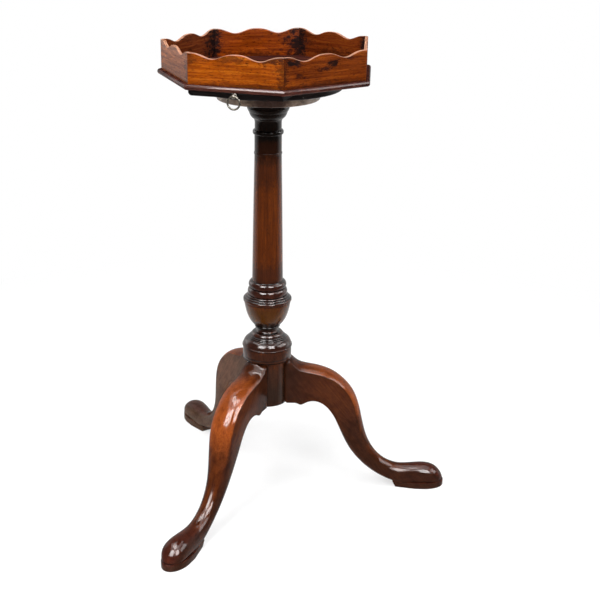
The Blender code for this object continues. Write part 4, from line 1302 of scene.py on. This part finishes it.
@dataclass
class Column(SubAssembly):
    """The turned column, from its tenon down to the block that takes the legs."""

    shoulder: float = 552.0
    shoulder_radius: float = 26.7
    tenon_top: float = 565.2
    tenon_radius: float = 12.5
    wedge_slot: tuple[Triple, Triple] = ((-14.0, -1.0, 556.9), (14.0, 1.0, 567.0))
    block_top: float = 199.0
    block_bottom: float = 134.5
    block_radius: float = 27.7
    sides: int = 96
    above_shaft: tuple[Moulding, ...] = mouldings(
        # collar and neck
        (27.3, 0.6, 0.9), (27.3, 9.9), (26.7, 0.4), (27.0, 0.6, 0.5), (24.6, 5.0, 0.2), (21.2, 6.7, 0.3),
        (20.4, 0.8), (17.2, 5.6, -0.6), (17.2, 9.5),
        # astragal, bare run and bead
        (19.8, 3.1, 0.95), (17.5, 3.1, 0.95), (17.5, 22.5), (18.1, 1.7, 0.95), (17.5, 1.7, 0.95),
    )
    shaft_foot: float = 20.5
    shaft_swell: float = 0.1
    below_shaft: tuple[Moulding, ...] = mouldings(
        # two torus rings and the ridges of the vase's lip
        (25.2, 5.0, 0.72), (22.4, 4.4, 0.95), (26.5, 5.2, 0.72), (25.0, 4.6, 0.95),
        *ridges(25.0, 32.4, 1.9), (32.4, 2.2), (31.6, 0.7, 0.5), (31.0, 0.7), (31.2, 0.6),
        # vase and waist
        (17.4, 33.2, 0.5), (16.0, 0.6), (17.2, 1.4, 0.95), (16.0, 1.4, 0.95), (14.2, 1.5, -0.6),
        (14.2, 2.8), (16.4, 2.2, -0.6),
        # dome, its bead and the drum
        (22.0, 5.0, 0.75), *ridges(22.0, 27.2, 1.3), (33.1, 9.0, 0.55), (33.9, 0.8, 0.9), (33.9, 0.6),
        (32.7, 0.5), (32.9, 0.5), (32.9, 11.8), (32.5, 0.3), (32.9, 0.3), (32.9, 3.0), (32.0, 0.5),
        (32.0, 0.4), (32.9, 0.3), (32.9, 0.4),
    )
    # Top, bottom, colour, strength and ragged share of each band of stain, one of them painted shade.
    bands: tuple[tuple[float, float, Colour, float, float], ...] = (
        (484.0, 440.0, (48, 22, 10), 0.6, 0.4),
        (336.0, 300.0, (50, 24, 14), 0.7, 0.3),
        (508.0, 480.0, (32, 17, 11), 0.95, 0.12),
        (556.0, 505.0, (16, 13, 11), 0.99, 0.12),
        (514.0, 500.0, (16, 13, 11), 0.98, 0.1),
        (490.0, 470.0, (42, 21, 12), 0.65, 0.2),
        (312.0, 279.0, (48, 22, 16), 0.9, 0.12),
        (280.0, 250.0, (70, 41, 11), 0.85, 0.3),
        (256.0, 236.0, (26, 16, 12), 0.95, 0.2),
        (238.0, 214.0, (42, 22, 17), 0.9, 0.12),
        (215.0, 199.0, (52, 29, 20), 0.85, 0.12),
        (198.0, 130.0, (50, 32, 23), 0.85, 0.12),
        # Painted shade at the foot of the leg block, between the legs.
        (168.0, 104.0, (34, 25, 18), 0.6, 0.2),
    )
    hollows: tuple[float, ...] = (
        *(552.0, 541.2, 528.4, 504.6, 310.1, 300.7, 290.9, 288.6, 286.3, 281.3, 245.4, 243.6),
        *(237.1, 232.1, 230.4, 228.7, 216.6, 203.8, 199.8),
    )
    hollow_half: float = 0.6
    band_reach: float = 400.0
    band_fade: float = 1.25

    def outline(self) -> Outline:
        """Return the column's outline, the shaft taking up what the mouldings leave.

        Returns:
            The outline as radius and height, from the top down.
        """
        fixed = sum(part.height for part in self.above_shaft + self.below_shaft)
        shaft = Moulding(self.shaft_foot, self.shoulder - self.block_top - fixed, self.shaft_swell)
        outline = [(0.0, self.tenon_top), (self.tenon_radius, self.tenon_top)]
        outline += [(self.tenon_radius, self.shoulder), (self.shoulder_radius, self.shoulder)]
        for part in (*self.above_shaft, shaft, *self.below_shaft):
            start = outline[-1]
            outline += bow(start, (part.radius, start[1] - part.height), part.share)
        outline += [(self.block_radius, self.block_top), (self.block_radius, self.block_bottom)]
        return [*outline, (0.0, self.block_bottom)]

    def build(self) -> None:
        """Turn the column, slot its tenon and dress it."""
        column = turn_on_lathe("turned_column", self.outline(), self.sides)
        carve(column, make_box("wedge_slot", *self.wedge_slot))
        smooth(column, 28.0)
        settle(column)
        self.hand_over(column, self.finish(), Body.STAND, Slot.POLISH, "column")

    def band(self, top: float, bottom: float, colour: Colour, strength: float, ragged: float) -> Stain:
        """Return a band of stain or painted shade that runs all round the column between two heights, with a
        ragged edge.
        """
        reach = (self.band_reach, self.band_reach, (top - bottom) / 2 * self.band_fade)
        return Stain((0.0, 0.0, (top + bottom) / 2), reach, colour, strength, 0.0, ragged)

    def finish(self) -> PolishedWood:
        """Return the column's finish: black under the tray, brown on the shaft, dark in the hollows, and
        painted shade at the leg block's foot.

        Returns:
            The finish with its bands and stains in place.
        """
        half = self.hollow_half
        # Darker lines at each hollow between the mouldings.
        hollow_darks = [(height + half, height - half, (14, 9, 8), 0.85, 0.5) for height in self.hollows]
        return PolishedWood(
            "column_polish",
            (78, 33, 5),
            (92, 41, 7),
            (104, 49, 9),
            turn=(0.0, math.pi / 2, 0.0),
            figure=(90.0, 3.5),
            fleck=(3.5, 0.9),
            flecks=0.7,
            pore=(2.6, 0.5),
            pores=0.6,
            stains=tuple(self.band(*row) for row in (*self.bands, *hollow_darks)),
            coat=0.1,
            glancing_coat=0.65,
            glance=(0.22, 0.5),
            matt_above=476.0,
        )


@dataclass(frozen=True)
class Station:
    """One section of a leg, as shares.

    Reaches are shares of the way from the leg block to the toe, crown heights of the joint's top, underside
    heights of the joint's bottom, and the half width of the leg's width. Roundness is 0 for a flat-sided
    section with sharp upper edges and 1 for an oval.
    """

    crown_reach: float
    crown_height: float
    under_reach: float
    under_height: float
    half_width: float
    roundness: float


STATION_SHARES = (
    (-0.030, 1.011, -0.030, 1.000, 0.490, 0.00), (0.012, 1.007, 0.012, 1.000, 0.490, 0.00),
    (0.033, 0.991, 0.034, 1.000, 0.490, 0.00), (0.057, 0.962, 0.059, 1.000, 0.490, 0.00),
    (0.087, 0.945, 0.084, 0.969, 0.490, 0.00), (0.129, 0.934, 0.114, 1.006, 0.494, 0.00),
    (0.174, 0.926, 0.151, 1.027, 0.497, 0.00), (0.255, 0.901, 0.197, 1.012, 0.500, 0.04),
    (0.324, 0.854, 0.237, 0.964, 0.502, 0.10), (0.387, 0.783, 0.275, 0.879, 0.506, 0.20),
    (0.428, 0.709, 0.303, 0.776, 0.508, 0.32), (0.457, 0.597, 0.333, 0.654, 0.498, 0.50),
    (0.480, 0.462, 0.366, 0.522, 0.452, 0.75), (0.511, 0.349, 0.406, 0.401, 0.400, 0.95),
    (0.562, 0.258, 0.470, 0.269, 0.361, 1.00), (0.618, 0.200, 0.547, 0.157, 0.347, 1.00),
    (0.688, 0.162, 0.650, 0.065, 0.362, 1.00), (0.752, 0.159, 0.738, 0.033, 0.400, 1.00),
    (0.808, 0.163, 0.803, 0.036, 0.440, 1.00), (0.855, 0.166, 0.855, 0.038, 0.462, 1.00),
    (0.896, 0.162, 0.900, 0.041, 0.465, 1.00), (0.932, 0.149, 0.936, 0.042, 0.440, 1.00),
    (0.962, 0.126, 0.964, 0.044, 0.345, 1.00), (0.983, 0.093, 0.985, 0.044, 0.215, 1.00),
    (0.993, 0.071, 0.995, 0.049, 0.075, 1.00),
)


@dataclass
class Legs(SubAssembly):
    """Three cabriole legs with pad feet on low platforms.

    A half section is a row of sideways and height shares, from the crown down, one for each step of the
    half circle. Creases are a step down from the crown and how hard it is.
    """

    places: tuple[tuple[str, float], ...] = (("front", -120.0), ("right", 0.0), ("back", 120.0))
    reach: float = 252.0
    width: float = 34.6
    crown_rise: float = 5.0
    block_radius: float = 27.7
    block_top: float = 199.0
    block_bottom: float = 134.5
    drum_radius: float = 32.9
    joint_drop: float = 8.0
    clearance_top: float = 260.0
    clearance_sides: int = 96
    foot_width: float = 35.0
    heel_width: float = 21.6
    foot_length: float = 73.5
    heel_undercut: float = 5.0
    heel_flare: float = 2.2
    flare_run: float = 14.0
    toe_flare: float = 0.6
    toe_length: float = 27.7
    toe_steps: int = 32
    platform_height: float = 9.5
    platform_rounding: float = 0.8
    around: int = 16
    bulge: float = 0.026
    pad_start: float = 0.62
    pad_run: float = 0.1
    pad_shares: tuple[tuple[int, float], ...] = ((5, 0.99), (6, 0.94), (7, 0.62))
    creases: tuple[tuple[int, float], ...] = ((3, 0.75), (6, 0.65))
    crease_gain: float = 1.15
    smoothness: int = 3
    # Place of the lighter knee, out from the axis and up: painted light where the lamps fall, with some wear.
    knee_light_place: Pair = (104.0, 168.0)
    toe_shade: Pair = (232.0, 12.0)
    sole_shade: float = 2.0
    # Height over the platform of the painted shade in the crease between foot and platform.
    crease_shade_rise: float = 1.5
    level_reach: float = 600.0
    grain_fall: float = math.radians(52.0)
    stations: tuple[Station, ...] = tuple(Station(*row) for row in STATION_SHARES)

    def flat_section(self, depth: float) -> Outline:
        """Draw half of the flat-sided section, its crown as low as its depth allows.

        Args:
            depth: Height of the section.

        Returns:
            Pairs from -1 to 1.
        """
        crown = self.crown_rise / depth
        heights = (1.0, 1.0 - 0.25 * crown, 1.0 - 0.68 * crown, 1.0 - crown, 0.5, 0.18, 0.0, 0.0, 0.0)
        across = (0.0, 0.52, 0.84, 1.0, 1.0, 0.98, 0.94, 0.5, 0.0)
        return [(x, 2 * height - 1) for x, height in zip(across, heights)]

    def pad_section(self) -> Outline:
        """Draw half of the pad foot's section, round above and square below, on its platform.

        Returns:
            The half section, from its top round to its underside.
        """
        half = self.around // 2
        low = dict(self.pad_shares)
        angles = [math.pi * step / half for step in range(half + 1)]
        return [(low.get(step, math.sin(angle)), math.cos(angle)) for step, angle in enumerate(angles)]

    def add_section(self, station: Station) -> None:
        """Add one ring of the leg's cage in edit mode, shape it, size it and stand it in its place.

        Args:
            station: The section to add.
        """
        near, span = self.block_radius, self.reach - self.block_radius
        top = station.crown_height * self.block_top
        bottom = station.under_height * self.block_bottom
        crown = Vector((near + station.crown_reach * span, 0.0, top))
        under = Vector((near + station.under_reach * span, 0.0, bottom))
        rise = crown - under
        choose("DESELECT")
        bpy.ops.mesh.primitive_circle_add(vertices=self.around, radius=1.0, rotation=(0.0, math.pi / 2, 0.0))
        ring = [vertex.index for vertex in edited().verts if vertex.select]
        flat_share = 1.0 - station.roundness
        if flat_share > 0.0:
            self.flatten(ring, flat_share, self.flat_section(rise.length))
        pad_share = min(max((station.crown_reach - self.pad_start) / self.pad_run, 0.0), 1.0)
        if pad_share > 0.0:
            self.flatten(ring, pad_share, self.pad_section())
        full = 1.0 + self.bulge * station.roundness
        size = (1.0, full * station.half_width * self.width * MM, full * rise.length / 2 * MM)
        self.select_ring(ring)
        bpy.ops.transform.resize(value=size, center_override=ORIGIN)
        turned = Matrix.Rotation(math.atan2(rise.x, rise.z), 4, "Y")
        mesh = edited()
        for index in ring:
            mesh.verts[index].co = turned @ mesh.verts[index].co
        bmesh.update_edit_mesh(bpy.context.object.data)
        bpy.ops.transform.translate(value=(crown + under) / 2 * MM)

    def select_ring(self, ring: Sequence[int]) -> None:
        """Select the vertices of one ring.

        Args:
            ring: Their numbers.
        """
        choose("DESELECT")
        mesh = edited()
        for index in ring:
            mesh.verts[index].select_set(True)
        bmesh.update_edit_mesh(bpy.context.object.data)

    def flatten(self, ring: Sequence[int], share: float, section: Outline) -> None:
        """Move a round ring's vertices towards another section, pair by pair.

        Args:
            ring: Numbers of the ring's vertices.
            share: How far they go, 1 being all the way.
            section: The half section that they go to.
        """
        half = self.around // 2
        mesh = edited()
        places = {index: mesh.verts[index].co for index in ring}
        angles = {index: math.atan2(abs(place.y), place.z) for index, place in places.items()}
        steps = {index: round(half * angle / math.pi) for index, angle in angles.items()}
        for step in range(1, half):
            angle = math.pi * step / half
            across, height = section[step]
            self.select_ring([index for index in ring if steps[index] == step])
            wide = 1.0 + share * (across / math.sin(angle) - 1.0)
            bpy.ops.transform.resize(value=(1.0, wide, 1.0), center_override=ORIGIN)
            bpy.ops.transform.translate(value=(0.0, 0.0, share * (height - math.cos(angle))))

    def cage(self) -> Piece:
        """Set up the leg's sections, bridge them, and crease its edges where the wood has an arris.

        Returns:
            The cage that a subdivision then makes smooth.
        """
        leg = trace("leg_carving", [Vector(ORIGIN)])
        with editing(leg):
            choose("SELECT")
            bpy.ops.mesh.delete(type="VERT")
            for station in self.stations:
                self.add_section(station)
            choose("SELECT")
            bpy.ops.mesh.bridge_edge_loops()
            for first in (0, len(self.stations) - 1):
                self.select_ring(range(first * self.around, (first + 1) * self.around))
                bpy.ops.mesh.edge_face_add()
            self.crease_arrises()
            choose("SELECT")
            bpy.ops.mesh.normals_make_consistent(inside=False)
        return leg

    def crease_arrises(self) -> None:
        """Crease the crown's arrises and the lower corners lengthwise, less where the leg is round."""
        around = self.around
        ring = edited().verts[:around]
        crown = max(range(around), key=lambda k: ring[k].co.z)
        for number, (one, two) in enumerate(zip(self.stations, self.stations[1:])):
            flat = 1.0 - max(one.roundness, two.roundness)
            if flat == 0.0:
                continue
            for step, hard in self.creases:
                firsts = [number * around + (crown + way * step) % around for way in (-1, 1)]
                wanted = [{first, first + around} for first in firsts]
                pick("EDGE", lambda edge: {vertex.index for vertex in edge.verts} in wanted)
                bpy.ops.transform.edge_crease(value=hard * min(1.0, flat * self.crease_gain))
        bpy.ops.mesh.select_mode(type="VERT")

    def platform(self) -> Piece:
        """Cut the low platform that is carved under the foot.

        Returns:
            The platform, its edges rounded.
        """
        heel, toe = self.reach - self.foot_length, self.reach - self.toe_length
        half, slim = self.foot_width / 2, self.heel_width / 2
        side = [(heel, -slim), (heel + self.flare_run, -slim - self.heel_flare)]
        side.append((toe - self.flare_run, -half + self.toe_flare))
        outline = list(side)
        for k in range(self.toe_steps + 1):
            angle = math.pi * (k / self.toe_steps - 0.5)
            outline.append((toe + self.toe_length * math.cos(angle), half * math.sin(angle)))
        outline += [(x, -y) for x, y in reversed(side)]
        points = [Vector((x, y, 0.0)) * MM for x, y in outline]
        platform = cut_plate("platform", points, Vector((0.0, 0.0, self.platform_height)) * MM)
        with editing(platform):
            pick("VERT", lambda vertex: vertex.co.z < NEAR * MM and vertex.co.x < (heel + NEAR) * MM)
            bpy.ops.transform.translate(value=(self.heel_undercut * MM, 0.0, 0.0))
        middle = self.platform_height / 2 * MM

        def level(edge: Edge) -> bool:
            """Say whether an edge lies in the sole or the top."""
            one, two = (vertex.co.z for vertex in edge.verts)
            return (one - middle) * (two - middle) > 0

        round_edges(platform, level, self.platform_rounding, 2)
        return platform

    def clearance(self) -> Piece:
        """Turn the tool that fits the leg's end to the column.

        Returns:
            The room that the column takes, to be cut from the leg.
        """
        drum, near = self.drum_radius + OVERRUN, self.block_radius + FIT
        over, top, bottom = self.clearance_top, self.block_top - FIT, self.block_bottom - self.joint_drop
        outline = [(0.0, over), (drum, over), (drum, top), (near, top), (near, bottom), (0.0, bottom)]
        return turn_on_lathe("column_room", outline, self.clearance_sides)

    def build(self) -> None:
        """Carve one leg, and stand a copy of it at each of its three places."""
        leg = self.cage()
        apply_modifier(leg, "SUBSURF", levels=self.smoothness, render_levels=self.smoothness)
        carve(leg, self.clearance())
        carve(leg, self.platform(), "UNION")
        smooth(leg, 38.0)
        for name, degrees in self.places:
            turn = math.radians(degrees)
            piece = copy_of(leg, f"cabriole_leg_{name}")
            settle(piece, turn)
            self.hand_over(piece, self.finish(name, turn), Body.STAND, Slot.POLISH, f"leg_{name}")
        bpy.data.objects.remove(leg, do_unlink=True)

    def finish(self, name: str, turn: float) -> PolishedWood:
        """Return one leg's finish, its grain running down the knee to the foot.

        Args:
            name: Which leg.
            turn: The leg's angle.

        Returns:
            The wood, with painted light on the knee, painted shade at the column and over the platform, and a
            dark toe.
        """
        out, height = self.knee_light_place
        knee = spun(turn, out, 0.0, height)
        toe = spun(turn, self.toe_shade[0], 0.0, self.toe_shade[1])
        # Painted light: the knee is lighter where the lamps fall on it, with some wear; most on the front
        # leg.
        glow = 0.72 if name == "front" else 0.6
        # The back leg's toe is lighter and greyer: painted reflection.
        toe_colour_and_glare = (84, 58, 50) if name == "back" else (70, 31, 22)
        level, line = self.level_reach, self.platform_height + self.crease_shade_rise
        stains = (
            # Painted light on the knee, with some wear.
            Stain(knee, (64.0, 64.0, 73.0), (176, 88, 36), glow, 0.0, 0.08),
            # Painted shade where the leg meets the column, under the drum.
            Stain((0.0, 0.0, height), (52.0, 52.0, 80.0), (40, 24, 18), 0.85, 0.0, 0.15),
            Stain(toe, (66.0, 66.0, 44.0), toe_colour_and_glare, 0.85, 0.0, 0.15),
            Stain((0.0, 0.0, self.sole_shade), (level, level, 8.6), (64, 44, 33), 0.8, 0.0, 0.1),
            # Painted shade in the crease between the foot and its platform.
            Stain((0.0, 0.0, line), (level, level, 1.1), (16, 10, 8), 0.9, 0.0, 0.1),
        )
        return PolishedWood(
            f"leg_polish_{name}",
            (67, 30, 10),
            (81, 37, 12),
            (98, 46, 16),
            turn=(0.0, self.grain_fall, turn),
            figure=(44.0, 8.0),
            fibres=0.55,
            fleck=(4.5, 1.0),
            flecks=0.4,
            pore=(2.6, 0.5),
            cloud=(14.0, 8.0),
            depth=0.45,
            stains=stains,
            coat=0.085,
            side_shade_turn=turn,
            # On the back leg the side colour is lighter and greyer: painted reflection over the painted
            # shade.
            side_shade_colour=(84, 62, 46) if name == "back" else (51, 27, 16),
            relief=0.14,
        )


@dataclass
class Ironwork(SubAssembly):
    """The strap and screws under the leg joints."""

    screws: tuple[str, ...] = ("centre", "front", "right", "back")

    def build(self) -> None:
        """Dress the strap and its screws."""
        self.dress_nodes(["base_strap"], IRON)
        self.dress_nodes([f"strap_screw_{name}" for name in self.screws], IRON)


# Studio


@dataclass(frozen=True)
class SoftBox:
    """A square studio light, in metres and watts."""

    name: str
    place: Triple
    aim: Triple
    size: Pair
    power: float
    only_gloss: bool = False

    def build(self) -> None:
        """Hang the light and turn it to its aim."""
        lamp = bpy.data.lights.new(self.name, "AREA")
        lamp.shape = "RECTANGLE"
        lamp.size, lamp.size_y = self.size
        lamp.energy = self.power
        holder = bpy.data.objects.new(self.name, lamp)
        holder.location = self.place
        holder.rotation_euler = (Vector(self.aim) - Vector(self.place)).to_track_quat("-Z", "Y").to_euler()
        holder.visible_camera = False
        holder.visible_diffuse = not self.only_gloss
        bpy.context.scene.collection.objects.link(holder)


@dataclass
class Studio:
    """The camera, the pale floor, the soft lights and the world.

    Places and the floor are in metres. The floor's glow rises over the glow's reach, in millimetres.
    """

    camera_back: float = 1.3836
    camera_height: float = 0.8158
    camera_pitch: float = math.radians(21.153)
    camera_roll: float = 0.0046
    lens: float = 66.284
    sensor: float = 36.0
    shift: float = 0.0543
    floor_size: float = 40.0
    world_strength: float = 0.2
    near_glow: float = 0.6
    glow_reach: Pair = (350.0, 1000.0)
    lights: tuple[SoftBox, ...] = (
        SoftBox("key_left", (-0.95, -1.40, 1.90), (-0.05, 0.0, 0.35), (0.8, 0.5), 22.0),
        SoftBox("key_right", (0.70, -1.50, 1.90), (-0.05, 0.0, 0.35), (0.8, 0.5), 18.0),
        SoftBox("overhead", (-0.06, -0.30, 2.30), (-0.06, 0.0, 0.4), (1.3, 0.5), 26.0),
        SoftBox("window_left", (-1.00, -1.60, 1.90), (-0.06, 0.0, 0.35), (1.2, 1.5), 820.0, True),
        SoftBox("window_right", (0.72, -1.70, 1.90), (-0.06, 0.0, 0.35), (1.1, 1.5), 740.0, True),
        SoftBox("window_over", (-0.40, -0.20, 2.30), (-0.06, 0.0, 0.30), (1.3, 0.8), 300.0, True),
        SoftBox("ceiling", (-0.06, -0.15, 2.60), (-0.06, -0.1, 0.30), (3.2, 2.8), 620.0, True),
        SoftBox("window_side", (1.90, -0.25, 1.55), (-0.06, 0.0, 0.40), (1.6, 1.3), 300.0, True),
        SoftBox("side_left", (-1.9, 1.35, 1.15), (-0.05, 0.0, 0.4), (1.3, 1.6), 13.0),
        SoftBox("side_right", (2.0, 0.75, 0.95), (-0.05, 0.0, 0.4), (1.3, 1.9), 11.0),
    )

    def build(self) -> None:
        """Set up the whole studio."""
        self.build_camera()
        self.build_floor()
        self.build_world()
        for light in self.lights:
            light.build()
        bpy.context.scene.view_settings.view_transform = "Standard"

    def build_camera(self) -> None:
        """Stand the camera where the photograph was taken from."""
        data = bpy.data.cameras.new("camera")
        data.lens = self.lens
        data.sensor_width = self.sensor
        data.shift_x = self.shift
        camera = bpy.data.objects.new("camera", data)
        place = Matrix.Translation((AXIS.x, -self.camera_back, self.camera_height))
        look = Matrix.Rotation(math.pi / 2 - self.camera_pitch, 4, "X")
        camera.matrix_world = place @ look @ Matrix.Rotation(self.camera_roll, 4, "Z")
        bpy.context.scene.collection.objects.link(camera)
        bpy.context.scene.camera = camera

    def build_floor(self) -> None:
        """Lay the pale floor, which glows to the camera but keeps the stand's shadow."""
        bpy.ops.mesh.primitive_plane_add(size=self.floor_size)
        floor = bpy.context.object
        floor.name = "floor"
        recipe = Recipe("pale_floor")
        cloud = recipe.noise(recipe.placed(ORIGIN, ORIGIN, (60.0,) * 3), 3.0, 0.55)
        pale = recipe.ramp(cloud, [(0.2, (226, 226, 226)), (0.8, (236, 236, 236))])
        recipe.set(Base_Color=pale, Roughness=0.9)
        glow = recipe.node("Emission", {"Color": WHITE, "Strength": 1.0})
        away = recipe.length(recipe.placed(ORIGIN, ORIGIN, (1.0, 1.0, 1.0)))
        spread = recipe.spread(away, *self.glow_reach, self.near_glow, 1.0)
        share = recipe.times(direct_rays(recipe.tree), spread)
        blend = recipe.node("MixShader", {0: share, 1: recipe.shader.outputs[0], 2: glow.outputs[0]})
        fill(recipe.tree, recipe.tree.nodes["Material Output"], {"Surface": blend.outputs[0]})
        floor.data.materials.append(recipe.material)

    def build_world(self) -> None:
        """Light the room evenly, and show it white behind the floor's edge."""
        world = bpy.data.worlds.new("studio")
        bpy.context.scene.world = world
        world.use_nodes = True
        tree = world.node_tree
        room = tree.nodes["Background"]
        fill(tree, room, {"Color": WHITE, "Strength": self.world_strength})
        white = add_node(tree, "Background", {"Color": WHITE})
        both = {0: direct_rays(tree), 1: room.outputs[0], 2: white.outputs[0]}
        fill(tree, tree.nodes["World Output"], {"Surface": add_node(tree, "MixShader", both).outputs[0]})


def main() -> None:
    """Build every sub-assembly from the floor up, then the studio round it."""
    logging.basicConfig(level=logging.INFO, format="%(name)s %(message)s")
    for assembly in (Legs(), Column(), Ironwork(), Blocks(), Slide(), Tray()):
        LOG.info("building %s", type(assembly).__name__)
        assembly.build()
    Studio().build()


if __name__ == "__main__":
    main()
